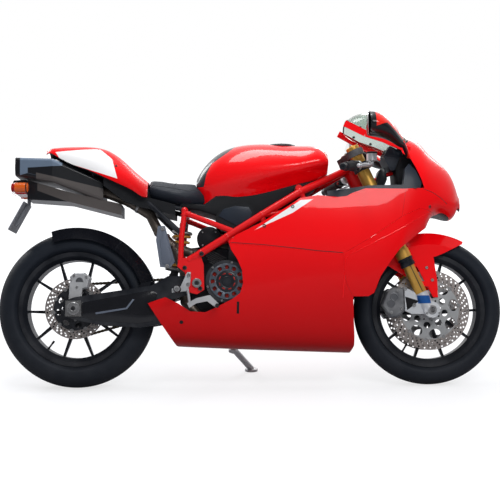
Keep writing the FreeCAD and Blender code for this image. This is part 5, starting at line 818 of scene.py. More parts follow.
def tyre_profile(radius, half_width, rise, neck_half, bead_half):
    """One round crown of a set rise, walls drawn in to the rim, and the beads, as (radius, height)."""
    core = radius - rise
    half = []
    for step in range(CROWN_STEPS + 1):
        angle = math.radians(90 * step / CROWN_STEPS)
        half.append((core + rise * math.cos(angle), half_width * math.sin(angle)))
    for step in range(1, WALL_STEPS + 1):
        share = step / WALL_STEPS
        half.append((core + (TYRE_NECK - core) * share, half_width + (neck_half - half_width) * share ** 2))
    half += [(TYRE_NECK - 5, neck_half - 1), (BEAD_RADIUS, bead_half)]
    return half + [(r, -h) for r, h in reversed(half[1:])]


def groove_cutter(half_width, low, high, side):
    """A part of a thin torus, from a low to a high angle in degrees on one side, with its ends capped."""
    ring = started(bpy.ops.mesh.primitive_torus_add, major_radius=half_width / 1000 + GROOVE_SINK,
                   minor_radius=GROOVE_RADIUS, major_segments=44, minor_segments=6)
    mesh = start_edit(ring)
    for point in mesh.verts:
        point.select_set(not math.radians(low) < math.atan2(point.co.y * side, point.co.x) < math.radians(high))
    bpy.ops.mesh.delete(type="VERT")
    bpy.ops.mesh.select_mode(type="EDGE")
    bpy.ops.mesh.select_all(action="DESELECT")
    bpy.ops.mesh.select_non_manifold()
    bpy.ops.mesh.edge_face_add()
    face_outward()
    end_edit()
    return ring


def add_tyre(name, node, body, centre, radius, half_width, rise, neck_half, bead_half):
    """A tyre of millimetre sizes, with its grooves cut on both sides in turn."""
    tyre = turned(tyre_profile(radius, half_width, rise, neck_half, bead_half), TYRE_STEPS)
    cutters = []
    for index in range(GROOVES):
        for side in (1, -1):
            turn = 2 * math.pi * (index + (0.5 if side < 0 else 0)) / GROOVES
            ring = groove_cutter(half_width, *GROOVE_ARCS[index % 2], side)
            ring.matrix_world = (Matrix.Rotation(turn, 4, "Z") @ Matrix.Translation(((radius - rise) / 1000, 0, 0))
                                 @ Matrix.Diagonal((rise / half_width, 1, 1, 1))
                                 @ turn_about("X", side * GROOVE_SLANT) @ AXLE_TURN)
            cutters.append(ring)
    cut_away(tyre, cutters)
    tyre.matrix_world = Matrix.Translation(centre) @ AXLE_TURN
    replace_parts(keep_piece(tyre, name, body, "tyre_rubber", 40), node)


def drills_round(count, distance, radius, thickness, phase, stretch=1.0, sides=10):
    """Cutters for a ring of holes, round or drawn out along the ring."""
    cutters = []
    for index in range(count):
        cutter = started(bpy.ops.mesh.primitive_cylinder_add, vertices=sides, radius=radius / 1000,
                         depth=thickness / 1000)
        cutter.matrix_world = (Matrix.Rotation(2 * math.pi * (index + phase) / count, 4, "Z")
                               @ Matrix.Translation((distance / 1000, 0, 0)) @ Matrix.Diagonal((1, stretch, 1, 1)))
        cutters.append(settle(cutter))
    return cutters


def band_profile(inner, outer, thickness, edge=0.6):
    half = thickness / 2
    return [(inner, -half), (outer - edge, -half), (outer, edge - half), (outer, half - edge), (outer - edge, half),
            (inner, half)]


def add_disc(name, node, body, places, carrier_look, sizes, rows, windows):
    """A drilled band with its carrier, buttons and bolts: sizes are its outer, inner and hub radius, and thickness.

    Each row of holes is (distance, count, phase), and each row of windows (distance, count, radius, phase, stretch).
    """
    outer, inner, hub, thickness = sizes
    ring = turned(band_profile(inner, outer, thickness), DISC_STEPS)
    cutters = []
    for distance, count, phase in rows:
        cutters += drills_round(count, distance, DISC_HOLE, thickness * 3, phase)
    cut_away(ring, cutters)
    ring = keep_piece(copy_at(ring, places), name + "_bands", body, "disc_steel", 30)
    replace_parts(ring, node)
    carrier = turned(band_profile(hub, inner + CARRIER_LAP, CARRIER_THICKNESS, 0.8), CARRIER_STEPS)
    cutters = []
    for distance, count, radius, phase, stretch in windows:
        cutters += drills_round(count, distance, radius, 20, phase, stretch, 24)
    cut_away(carrier, cutters)
    keep_piece(copy_at(carrier, places), name + "_carriers", body, carrier_look, 30)
    spots = [spot for point, way in places for spot in places_round(point, (inner + 1) / 1000, BUTTONS, 9, way)]
    add_turned(name + "_buttons", [(0, -3.6), (7.4, -3.6), (7.8, -3.0), (7.8, 3.0), (7.4, 3.6), (3.2, 3.6), (2.8, 2.6),
                                   (0, 2.6)], 20, spots, "bolt_steel", body)
    bolts = [spot for point, way in places
             for spot in places_round(point + way * 0.002, (hub + 7) / 1000, DISC_BOLTS, 30, way)]
    add_screws(name + "_bolts", bolts, 5.2, 3.6, body)


def add_wheels():
    add_tyre("front_tyre_grooved", "front_tyre", "front_wheel", FRONT_AXLE, 300, 60, 50, 38.2, 32.2)
    add_tyre("rear_tyre_grooved", "rear_tyre", "rear_wheel", REAR_AXLE, 315, 90, 66, 63.7, 57.7)
    add_disc("front_disc", "front_discs", "front_wheel", [(FRONT_AXLE + RIGHT * 0.066, RIGHT),
                                                          (FRONT_AXLE + LEFT * 0.066, LEFT)],
             "carrier_alloy", (160, 118, 29, 5.0),
             [(124.5, 40, 0), (134, 40, 0.34), (143.5, 40, 0.67), (152.5, 40, 0)],
             [(97, 8, 19.0, 0.25, 1.25), (61, 8, 12.5, 0.75, 1.1), (43, 8, 4.0, 0.25, 1.0)])
    add_disc("rear_disc", "rear_disc", "rear_wheel", [(REAR_AXLE + RIGHT * 0.088, RIGHT)], "black_satin",
             (120, 86, 37, 6.0), [(93, 34, 0), (102, 34, 0.34), (111, 34, 0.67)], [(66, 8, 9.5, 0.25, 1.5)])
    for end, axle, angle in (("rear", REAR_AXLE, 233), ("front", FRONT_AXLE, 238)):
        root = about(axle, VALVE_RADIUS, angle)
        add_turned(end + "_valve_stem", [(0, 0), (5.4, 0), (5.4, 3), (3.8, 5), (3.8, 26), (4.6, 27), (4.6, 36),
                                         (3.6, 38), (0, 38)], 14, [(root, axle - root)],
                   "valve_rubber", end + "_wheel")
    add_screws("sprocket_nuts", places_round(REAR_AXLE + LEFT * 0.112, 0.058, 5, 20, LEFT), 7.5, 7, "rear_wheel",
               nut=True)


# Chain: one link with its side plates and rollers, set round both sprockets

CHAIN_PITCH = 15.875
FRONT_SPROCKET = Vector((-0.160, 0, 0.405))
REAR_PITCH_RADIUS, FRONT_PITCH_RADIUS = 106.5, 46.5
CHAIN_Y = 108
CHAIN_BODY = next(name for name, nodes in frame["record"]["behaviour"]["bodies"].items() if "chain" in nodes)


def heading(angle):
    return Vector((math.cos(angle), math.sin(angle)))


def chain_line():
    """Points and directions round the two sprockets, in upright (x, z) millimetres, evenly spaced by the pitch."""
    rear, front = (Vector((axle.x, axle.z)) * 1000 for axle in (REAR_AXLE, FRONT_SPROCKET))
    big, small = REAR_PITCH_RADIUS, FRONT_PITCH_RADIUS
    gap = front - rear
    tilt = math.atan2(gap.y, gap.x)
    spread = math.acos((big - small) / gap.length)
    run = math.sqrt(gap.length ** 2 - (big - small) ** 2)
    front_arc, rear_arc = small * 2 * spread, big * 2 * (math.pi - spread)
    total = 2 * run + front_arc + rear_arc
    upper, lower = heading(tilt + spread), heading(tilt - spread)
    count = round(total / CHAIN_PITCH)
    spots = []
    for index in range(count):
        gone = total * index / count
        if gone < run:
            start, end = rear + upper * big, front + upper * small
            spots.append((start.lerp(end, gone / run), end - start))
        elif gone < run + front_arc:
            angle = tilt + spread - (gone - run) / small
            spots.append((front + heading(angle) * small, Vector((math.sin(angle), -math.cos(angle)))))
        elif gone < 2 * run + front_arc:
            start, end = front + lower * small, rear + lower * big
            spots.append((start.lerp(end, (gone - run - front_arc) / run), end - start))
        else:
            angle = tilt - spread - (gone - 2 * run - front_arc) / big
            spots.append((rear + heading(angle) * big, Vector((math.sin(angle), -math.cos(angle)))))
    return spots


def link_plate(near, far):
    """A waisted side plate of one pitch, in the upright x, z plane about the origin."""
    half = CHAIN_PITCH / 2
    outline = [(-half - 6, 0), (-half - 3, 5.6), (-half + 3, 5.6), (0, 4.2), (half - 3, 5.6), (half + 3, 5.6),
               (half + 6, 0), (half + 3, -5.6), (half - 3, -5.6), (0, -4.2), (-half + 3, -5.6), (-half - 3, -5.6)]
    return flat_piece(outline, near, far, edge=0)


def add_chain():
    outer = join_pieces([link_plate(-9.6, -7.8), link_plate(7.8, 9.6)])
    inner = join_pieces([link_plate(-7.4, -5.6), link_plate(5.6, 7.4)])
    pin = turned([(0, -10), (2.6, -10), (2.6, -6), (5, -5.6), (5, 5.6), (2.6, 6), (2.6, 10), (0, 10)], 8)
    pin.matrix_world = AXLE_TURN
    settle(pin).matrix_world = Matrix.Translation((CHAIN_PITCH / 2000, 0, 0))
    settle(pin)
    links = []
    for index, (point, way) in enumerate(chain_line()):
        place = Matrix.Translation(mm(point.x, CHAIN_Y, point.y)) @ Matrix.Rotation(-math.atan2(way.y, way.x), 4, "Y")
        links += [duplicate(pattern, place) for pattern in (outer if index % 2 else inner, pin)]
    for pattern in (outer, inner, pin):
        bpy.data.objects.remove(pattern)
    links = keep_piece(join_pieces(links), "drive_chain_links", CHAIN_BODY, "chain_steel", 30)
    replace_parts(links, "chain")


# Fork, brakes and controls

BAR_START = on_fork(642) + Vector((0, -0.027, 0))
BAR_SWEEP, BAR_DROP = math.radians(22), math.radians(9)
BAR_OUT = Vector((-math.sin(BAR_SWEEP) * math.cos(BAR_DROP), -math.cos(BAR_SWEEP) * math.cos(BAR_DROP),
                  -math.sin(BAR_DROP)))
BAR_AHEAD = Vector((-BAR_OUT.y, BAR_OUT.x, 0)).normalized()
LEVER_ROOT = BAR_START + BAR_OUT * 0.062 + BAR_AHEAD * 0.058
GRIP_OUT, WEIGHT_OUT, POD_OUT, BLADE_TIP_OUT = 0.136, 0.250, 0.112, 0.164
AXLE_HALF = 0.126
REFLECTION_STRIP_UP, CAP_UP, STEM_TOP_UP, STEM_SETBACK = 139, 722, 712, 36

FORK_RINGS = (
    # piece, slot, finish, distances up both legs in millimetres, and profile
    ("fork_seals", "black_plastic", "black_satin", (196,),
     [(22, 0), (29.4, 0), (30.4, 2), (30.4, 16), (28.6, 18), (28.6, 24), (31.2, 26), (31.2, 34), (27.6, 36), (22, 36)]),
    ("fork_bands", "black_plastic", "black_satin", (318, 428),
     [(27.4, 0), (31.5, 0), (32.5, 1), (32.5, 12), (31.5, 13), (27.4, 13)]),
    ("slider_sleeves", "gold_alloy", "gold_alloy", (80,),
     [(21.7, 0), (23.2, 0), (23.6, 1), (23.6, 118), (21.7, 118)]),
)
FORK_CAP = [(0, -2), (25, -2), (26.5, 0), (26.5, 3), (24, 5), (16, 5.5), (15, 4), (9.5, 4), (9.5, 9), (7, 10),
            (4.5, 10), (4, 7.5), (0, 7.5)]


def piston_cap(radius):
    return [(0, -1), (radius, -1), (radius, 1.6), (radius - 1.5, 2.4), (radius - 3.6, 2.4), (radius - 4, 0.8),
            (0, 0.8)]


def skin_spots(node, spots):
    """Places on a part's skin, side by side."""
    return [skin_place(node, x, z, side) for side in SIDES for x, z in spots]


def add_fork():
    for name, slot, look, heights, profile in FORK_RINGS:
        places = [(on_fork(along, side), FORK_UP) for along in heights for side in SIDES]
        add_turned(name, profile, 40, places, look, "steering")
    # painted reflection: a black strip down each gold slider stands in for the dark reflection line along it
    lines = [(on_fork(REFLECTION_STRIP_UP, side) + LEFT * (side * 0.0225) + FORK_AHEAD * 0.004, FORK_UP) for side in SIDES]
    keep_piece(copy_at(soft_box((5.5, 3, 112), 1.0), lines), "slider_dark_reflection_strips", "steering",
               "black_satin")
    add_turned("fork_caps", FORK_CAP, 36, [(on_fork(CAP_UP, side), FORK_UP) for side in SIDES],
               "gold_alloy", "steering")
    stem_top = FRONT_AXLE + (FORK_UP * STEM_TOP_UP - FORK_AHEAD * STEM_SETBACK) / 1000
    keep_piece(copy_at(hex_nut(13, 8), [(stem_top, FORK_UP)]), "stem_nut", "steering", "bolt_steel")
    add_screws("front_caliper_bolts", skin_spots("front_calipers", ((575, 378), (590, 306), (548, 290))), 6.5, 5,
               "steering")
    add_turned("caliper_piston_caps", piston_cap(17), 28, skin_spots("front_calipers", ((560, 352), (548, 326))),
               "caliper_grey", "steering")
    add_screws("caliper_mount_bolts", skin_spots("fork_lowers", ((604, 384), (640, 318))), 8, 6, "steering")
    add_screws("axle_pinch_bolts", skin_spots("fork_lowers", ((688, 286), (738, 286))), 4.6, 4, "steering")
    add_turned("front_axle_rims", [(10.4, -2), (17, -2), (18.5, 0), (18.5, 3), (17, 4.5), (11, 4.5), (10.4, 3.5)], 36,
               [(FRONT_AXLE + RIGHT * AXLE_HALF, RIGHT), (FRONT_AXLE + LEFT * AXLE_HALF, LEFT)],
               "bolt_steel", "steering")
    add_screws("front_guard_screws", skin_places("front_mudguard", [(722, 420), (700, 470)]), 6.5, 3.4, "steering")


def ribbed_profile(start, rib, count, pitch, end):
    """A sleeve's first points, then a rib of four points repeated at a pitch, then its last points."""
    ribs = [(radius, along + index * pitch) for index in range(count) for radius, along in rib]
    return start + ribs + end


def add_on_bar(name, pattern, places, look, smooth=35):
    """A part of the right handlebar, mirrored to the left one."""
    keep_piece(with_mirrored(copy_at(pattern, places)), name, "steering", look, smooth)


def add_controls():
    grip = ribbed_profile([(11.2, 0), (21, 0), (22.5, 1.5), (22.5, 5), (17.6, 7)],
                          [(16.2, 9), (16.2, 10.6), (17.6, 11.6), (17.6, 15.4)], 13, 8, [(16.0, 113), (11.2, 113)])
    add_on_bar("ribbed_grips", turned(grip, 28), [(BAR_START + BAR_OUT * GRIP_OUT, BAR_OUT)], "grip_rubber", 50)
    weight = [(0, -2), (13.6, -2), (14.2, 0), (14.2, 6), (12, 8), (12, 22), (14.2, 24), (14.2, 30), (12.5, 32.5),
              (5, 32.5), (4.4, 30), (0, 30)]
    add_on_bar("bar_end_weights", turned(weight, 28), [(BAR_START + BAR_OUT * WEIGHT_OUT, BAR_OUT)], "black_satin")
    pod = BAR_START + BAR_OUT * POD_OUT
    add_on_bar("switch_pods", soft_box((36, 40, 30), 5, 3, 0.86), [(pod, BAR_OUT)], "black_plastic")
    rockers = [(pod - BAR_AHEAD * 0.019 + UP * rise, -BAR_AHEAD) for rise in (0.007, -0.008)]
    add_on_bar("switch_rockers", soft_box((9, 12, 6), 2, 2, 0.8), rockers, "clutch_red")
    lid = [(0, -3), (21.6, -3), (22.4, -2), (22.4, 2.5), (20.5, 4.2), (9, 4.6), (8, 3.4), (0, 3.4)]
    add_on_bar("reservoir_lids", turned(lid, 36), [(LEVER_ROOT + UP * 0.045, UP)], "black_plastic")
    blade = bent_tube([(LEVER_ROOT + BAR_OUT * out + BAR_AHEAD * ahead) * 1000
                       for out, ahead in ((0, 0), (0.05, 0.012), (0.12, -0.004), (0.160, -0.010))], 5.4)
    tip = turned([(0, -8), (4, -7.5), (7, -5), (8, 0), (7, 5), (4, 7.5), (0, 8)], 18)
    tip = copy_at(tip, [(LEVER_ROOT + BAR_OUT * BLADE_TIP_OUT - BAR_AHEAD * 0.010, BAR_OUT)])
    keep_piece(with_mirrored(join_pieces([blade, tip])), "lever_blades", "steering", "cast_alloy")
    pivot = copy_at(cap_screw(7, 4), [(LEVER_ROOT + UP * 0.008 + BAR_OUT * 0.024, UP)])
    keep_piece(with_mirrored(pivot), "lever_pivots", "steering", "bolt_steel")


DASH_MIDDLE = mm(547.5, 0, 946.5)
DASH_FACING = Vector((-0.865, 0, 0.50))
DIAL_PLACE = DASH_MIDDLE + LEFT * 0.022 + DASH_FACING * 0.001
DIAL_START, DIAL_STEP, DIAL_MARKS = 225, -22.5, 13
NEEDLE_ANGLE = 150


def on_dial(lift, degrees, out):
    """A place on the dial: lifted off its face, turned, and moved out from its middle."""
    return (Matrix.Translation(DIAL_PLACE + DASH_FACING * lift) @ turn_to(DASH_FACING) @ turn_about("Z", degrees)
            @ Matrix.Translation((0, out, 0)))


def add_dash():
    add_turned("dial_bezel", [(18.5, -4), (22, -4), (23, -2), (23, 3), (21.5, 4.5), (19.5, 4.5), (18.5, 3)], 40,
               [(DIAL_PLACE, DASH_FACING)], "black_gloss")
    add_turned("dial_face", [(0, -3), (19, -3), (19, 1.6), (0, 1.6)], 36, [(DIAL_PLACE, DASH_FACING)],
               "gauge_face")
    marks = spread_out(soft_box((1.1, 3.4, 0.9), 0.2, 1),
                       [on_dial(0.0018, DIAL_START + DIAL_STEP * index, 0.0145) for index in range(DIAL_MARKS)])
    needle = spread_out(soft_box((1.2, 15, 0.8), 0.3, 1), [on_dial(0.0026, NEEDLE_ANGLE, 0.006)])
    keep_piece(join_pieces([marks, needle]), "dial_marks", "chassis", "gauge_mark")
    window = copy_at(soft_box((34, 46, 3), 1.2), [(DASH_MIDDLE - LEFT * 0.030 + DASH_FACING * 0.0012, DASH_FACING)])
    keep_piece(window, "dash_window", "chassis", "gauge_face")


# Fairing, screen, mirrors and lamps

SCREEN_EDGE = [(392, -112, 1052), (391, -100, 1062), (390, -84, 1072), (389, 0, 1082), (390, 84, 1072),
               (391, 100, 1062), (392, 112, 1052)]
HEADLAMPS = (("upper", mm(787, 0, 812), 42), ("lower", mm(784, 0, 736), 24))
BELLY_HOLE = [(0, -0.6), (7.5, -0.6), (7.5, 0.5), (6.3, 1.0), (5.5, 0.2), (0, 0.2)]
LAMP_HOUSING = [(585, 798), (580, 868), (602, 926), (650, 936), (700, 880), (700, 800)]
STEERING_GUARD = [(500, 806), (520, 876), (544, 886), (552, 836), (536, 798)]


def add_headlamp(name, place, radius):
    """A bezel and a domed clear lens in front of a lamp of a radius in millimetres."""
    add_turned(name + "_lamp_bezel", [(radius - 6, -8), (radius + 1, -8), (radius + 2.5, -6), (radius + 2.5, 1),
                                      (radius + 1, 3), (radius - 3, 3), (radius - 6, 0)], 48, [(place, AHEAD)],
               "black_gloss")
    lens = turned([(radius - 3, 0), (radius - 3, 1.4), (radius * 0.7, radius * 0.26), (radius * 0.35, radius * 0.36),
                   (0, radius * 0.40)], 48)
    apply_change(lens, "SOLIDIFY", thickness=0.0022, offset=-1)
    keep_piece(copy_at(lens, [(place + AHEAD * 0.001, AHEAD)]), name + "_lamp_lens", "chassis",
               "lens_clear", 60)


def add_belly_slots():
    """A slot on each belly pan, upright along its skin."""
    slots = []
    for side in SIDES:
        top, normal = skin_place("belly_pans", -64, 333, side)
        low, _ = skin_place("belly_pans", -65, 292, side)
        slot = soft_box((9.5, 2.0, (top - low).length * 1000 + 6), 0.9, 2)
        along = (top - low).normalized()
        ahead = normal.cross(along).normalized()
        turn = Matrix((ahead, -normal, along)).transposed().to_4x4()
        slot.matrix_world = Matrix.Translation((top + low) / 2) @ turn
        slots.append(slot)
    keep_piece(join_pieces(slots), "belly_slots", "chassis", "black_plastic")


def add_front():
    keep_piece(bent_tube(SCREEN_EDGE, 2.6), "screen_edge", "chassis", "screen_rubber")
    add_screws("screen_screws", skin_places("windscreen", [(436, 1036), (508, 1008), (584, 976)]), 5.6, 2.6,
               look="black_bolt")
    add_screws("nose_screws", skin_places("nose_fairing", [(656, 826), (700, 706)]), 6.6, 2.2, look="black_bolt")
    for lamp in HEADLAMPS:
        add_headlamp(*lamp)
    glass = turned([(0, 0), (66, 0), (70, 1.2), (70, 2.2), (66, 3.2), (0, 3.4)], 44)
    glass.matrix_world = (Matrix.Translation(mm(440.5, -345, 1012)) @ turn_about("Z", -8) @ turn_to(BACK)
                          @ Matrix.Diagonal((1.0, 0.60, 1, 1)))
    keep_piece(with_mirrored(glass), "mirror_glasses", "chassis", "mirror_glass")
    add_turned("belly_holes", BELLY_HOLE, 24, skin_places("belly_pans", [(-287, 258)]),
               "black_plastic")
    add_belly_slots()
    add_screws("side_panel_screws", skin_places("side_panels", [(152, 705), (40, 630)]), 7.0, 2.4, look="black_bolt")
    keep_piece(flat_piece(LAMP_HOUSING, -86, 86, 9, 3), "lamp_housing", "chassis", "black_plastic", 40)
    keep_piece(flat_piece(STEERING_GUARD, -44, 44, 7, 3), "steering_head_guard", "steering",
               "black_satin", 40)


# Panel joints, engine, suspension and running gear

SEAM_PITCH = 14
CREASE = ((716, 676), (690, 682), (555, 604), (357, 507), (351, 400), (346, 330))
CREASED_NODES = ("vent_panels", "side_panels", "belly_pans", "nose_fairing")
CREASE_REACH = 0.003
PANEL_JOINTS = (("side_panels", [(-92, 566), (30, 557), (178, 540), (256, 530), (345, 523)]),
                ("nose_fairing", [(672, 776), (712, 764), (752, 742), (778, 722)]))


def seam_on(node, spots, side):
    """Points along a line of upright (x, z) spots, laid on a panel's skin."""
    laid = []
    for (x0, z0), (x1, z1) in zip(spots, spots[1:]):
        count = max(2, int(math.hypot(x1 - x0, z1 - z0) / SEAM_PITCH))
        for index in range(count):
            share = index / count
            laid.append(skin_place(node, x0 + (x1 - x0) * share, z0 + (z1 - z0) * share, side)[0] * 1000)
    laid.append(skin_place(node, *spots[-1], side)[0] * 1000)
    return laid


def crease_on(side):
    """Points along the crease line, on whichever panel is outermost there."""
    line = []
    for (x0, z0), (x1, z1) in zip(CREASE, CREASE[1:]):
        for share in (0.0, 0.25, 0.5, 0.75):
            x, z = x0 + (x1 - x0) * share, z0 + (z1 - z0) * share
            found = [skin_place(node, x, z, side)[0] for node in CREASED_NODES]
            found = [place for place in found if abs(place.x - x / 1000) < CREASE_REACH
                     and abs(place.z - z / 1000) < CREASE_REACH]
            if found:
                line.append(max(found, key=lambda place: abs(place.y)) * 1000)
    return line


def add_panel_joints():
    lines = [bent_tube(seam_on(node, spots, side), 1.1, 2, 2) for node, spots in PANEL_JOINTS for side in SIDES]
    keep_piece(join_pieces(lines), "panel_joints", "chassis", "screen_rubber")
    creases = [bent_tube(crease_on(side), 1.7, 2, 2) for side in SIDES]
    keep_piece(join_pieces(creases), "panel_creases", "chassis", "red_gloss")


CLUTCH = mm(-107, 0, 416)
CLUTCH_FACE = CLUTCH + RIGHT * 0.170
CAM_COVER = mm(-176, -104, 590)
AIRBOX = [(-300, 716), (-288, 738), (-196, 728), (-150, 762), (-60, 776), (60, 792), (200, 814), (262, 826),
          (262, 800), (185, 752), (33, 664), (-60, 622), (-128, 640), (-150, 684), (-214, 704)]
REAR_CASE = [(-226, 560), (-170, 566), (-60, 540), (-16, 560), (-16, 300), (-110, 262), (-236, 300), (-284, 340),
             (-262, 440)]
COVER_RIB = [(-138, 676), (-119, 703), (-71, 716), (-18, 712), (-6, 691), (-10, 656), (-54, 630)]
CYLINDER_TILT = 28
PIVOTS = [(mm(-225, side * 184, 410), LEFT * side) for side in SIDES]
WELDED_TUBES = (((33, -176, 677), (185, -172, 768)), ((-105, -176, 591), (33, -176, 677)),
                ((-272, -150, 690), (-74, -176, 610)), ((60, -164, 560), (33, -176, 677)),
                ((-272, -150, 700), (-284, -160, 600)), ((60, -164, 560), (225, -160, 700)))


def add_clutch():
    """The dry clutch: a vented ring, its basket and studs, and a slotted centre."""
    ring = turned([(43, 0), (69, 0), (71, 1.4), (71, 3.2), (69.5, 4.4), (44, 4.4), (42.5, 3.4), (42.5, 0.6)], 72)
    cut_away(ring, drills_round(12, 56, 8.6, 20, 0.0, 1.12, 20))
    keep_piece(copy_at(ring, [(CLUTCH_FACE, RIGHT)]), "clutch_vent_ring", "chassis", "clutch_ring")
    add_turned("clutch_basket", [(0, -14), (66, -14), (66, -11), (30, -10), (0, -10)], 48, [(CLUTCH_FACE, RIGHT)],
               "clutch_red")
    add_turned("clutch_studs", [(0, -10), (6, -10), (6, -6), (5, -5), (0, -5)], 14,
               places_round(CLUTCH_FACE, 0.056, 12, 12, RIGHT), "bolt_steel")
    add_turned("clutch_centre", [(0, 0), (40, 0), (41, 1), (41, 2), (38, 3.4), (26, 4.2), (24, 3.2), (21, 3.2),
                                 (19, 4.8), (0, 5.6)], 56, [(CLUTCH_FACE, RIGHT)], "black_satin")
    slots = [Matrix.Translation(CLUTCH_FACE) @ turn_to(RIGHT) @ turn_about("Z", 45 * index + 20)
             @ Matrix.Translation((0.031, 0, 0.0036)) for index in range(8)]
    keep_piece(spread_out(soft_box((4, 14, 1.6), 0.7, 2), slots), "clutch_centre_slots", "chassis",
               "clutch_red")


def add_cylinder_fins():
    """Slanted fins, each a little shorter and higher than the last."""
    fins = []
    for index in range(7):
        fin = soft_box((132 - index * 2, 150, 5), 1.6, 2)
        fin.matrix_world = (Matrix.Translation(mm(-120 - index * 6.2, 0, 470 + index * 11.6))
                            @ turn_about("Y", CYLINDER_TILT))
        fins.append(fin)
    keep_piece(join_pieces(fins), "cylinder_fins", "chassis", "dark_casting")


def add_welds():
    """A bead round the start of each frame tube."""
    welds = []
    for start, end in WELDED_TUBES:
        way = (mm(*end) - mm(*start)).normalized()
        bead = turned([(10, -2.4), (12.8, -2.2), (13.6, 0), (12.8, 2.2), (10, 2.4)], 28)
        welds.append(copy_at(bead, [(mm(*start) + way * 0.019, way)]))
    keep_piece(with_mirrored(join_pieces(welds)), "weld_beads", "chassis", "red_frame", 60)


def add_engine():
    add_clutch()
    keep_piece(flat_piece(AIRBOX, -104, 104, 7, 3), "airbox_body", "chassis", "black_plastic", 40)
    keep_piece(flat_piece(REAR_CASE, -70, 70, 9, 3), "rear_case", "chassis", "black_satin", 40)
    add_turned("rear_cam_cover", [(0, 15), (14, 15), (20, 12), (40, 11), (47, 7), (49, 0), (49, -46), (0, -46)], 48,
               [(CAM_COVER, RIGHT)], "black_plastic", smooth=40)
    add_screws("cam_cover_screws", places_round(CAM_COVER + RIGHT * 0.0106, 0.037, 4, 45, RIGHT), 3.6, 2.6)
    add_cylinder_fins()
    add_screws("clutch_cover_screws", places_round(CLUTCH + RIGHT * 0.1695, 0.0775, 6, 15, RIGHT), 4.6, 3.6)
    add_screws("frame_bolts", skin_places("frame_trellis", [(-200, 506), (-272, 470), (-212, 388), (-20, 474)]), 9, 7,
               look="black_bolt")
    add_turned("swingarm_pivot_rims", [(9.6, -1), (17, -1), (18.5, 0.5), (18.5, 3), (17, 5), (11, 5), (9.6, 3.4)], 32,
               PIVOTS, "bolt_steel")
    add_turned("swingarm_pivot_caps", [(0, 0), (8.4, 0), (9.4, 1), (9.4, 2.6), (8, 3.4), (5.2, 3.4), (4.6, 1.2),
                                       (0, 1.2)], 28, PIVOTS, "black_bolt")
    add_welds()
    add_screws("airbox_screws", skin_places("airbox_covers", [(-58, 690), (-118, 684), (-20, 700)]), 4.6, 3.0)
    keep_piece(with_mirrored(flat_piece(COVER_RIB, -152.4, -155.4, 1.4, 3)), "airbox_cover_ribs", "chassis",
               "slate_plastic")


SHIELD_RIB = [(-352, 622), (-324, 508), (-334, 486), (-362, 490), (-372, 586)]
SHOCK_TOP, SHOCK_FOOT = mm(-280, 0, 655), mm(-322, 0, 443)
SHOCK_UP = (SHOCK_TOP - SHOCK_FOOT).normalized()
SPRING_END = 37.0
SPRING_RADIUS = 34.4
SPRING_TURNS, STEPS_A_TURN = 6, 12
ARM_STRIP = [(-624, 299), (-504, 317), (-478, 351), (-472, 347), (-500, 311), (-623, 291)]
ARM_PANEL = [(-690, 336), (-410, 384), (-382, 372), (-400, 262), (-455, 254), (-608, 266), (-684, 282)]
AXLE_ENDS = [(REAR_AXLE + LEFT * (side * 0.1625), LEFT * side) for side in SIDES]
CLAMPED_PIPES = [(mm(-349, -89, 590), (mm(-378, -86, 620) - mm(-320, -92, 560)).normalized()),
                 (mm(-276, -94, 420), UP),
                 (mm(-455, -54, 720), (mm(-500, -45, 748) - mm(-412, -62, 690)).normalized())]


def add_shock():
    """The coil spring round the shock absorber, with a seat at each end."""
    low, high = SPRING_END, (SHOCK_TOP - SHOCK_FOOT).length * 1000 - SPRING_END
    steps = SPRING_TURNS * STEPS_A_TURN
    turn = turn_to(SHOCK_UP).to_3x3()
    line = []
    for step in range(steps + 1):
        angle = 2 * math.pi * step / STEPS_A_TURN
        out = turn @ Vector((math.cos(angle), math.sin(angle), 0)) * SPRING_RADIUS
        line.append(SHOCK_FOOT * 1000 + out + SHOCK_UP * (low + (high - low) * step / steps))
    coil = keep_piece(bent_tube(line, 5.8, 3, 3), "shock_coil", "chassis", "spring_ochre", 60)
    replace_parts(coil, "shock_spring")
    add_turned("spring_seats", [(16.2, 0), (41, 0), (42, 1.5), (42, 5), (39, 7), (22, 7), (21, 12), (16.2, 12)], 36,
               [(SHOCK_FOOT + SHOCK_UP * (low - 9) / 1000, SHOCK_UP),
                (SHOCK_FOOT + SHOCK_UP * (high + 9) / 1000, -SHOCK_UP)], "cast_alloy")


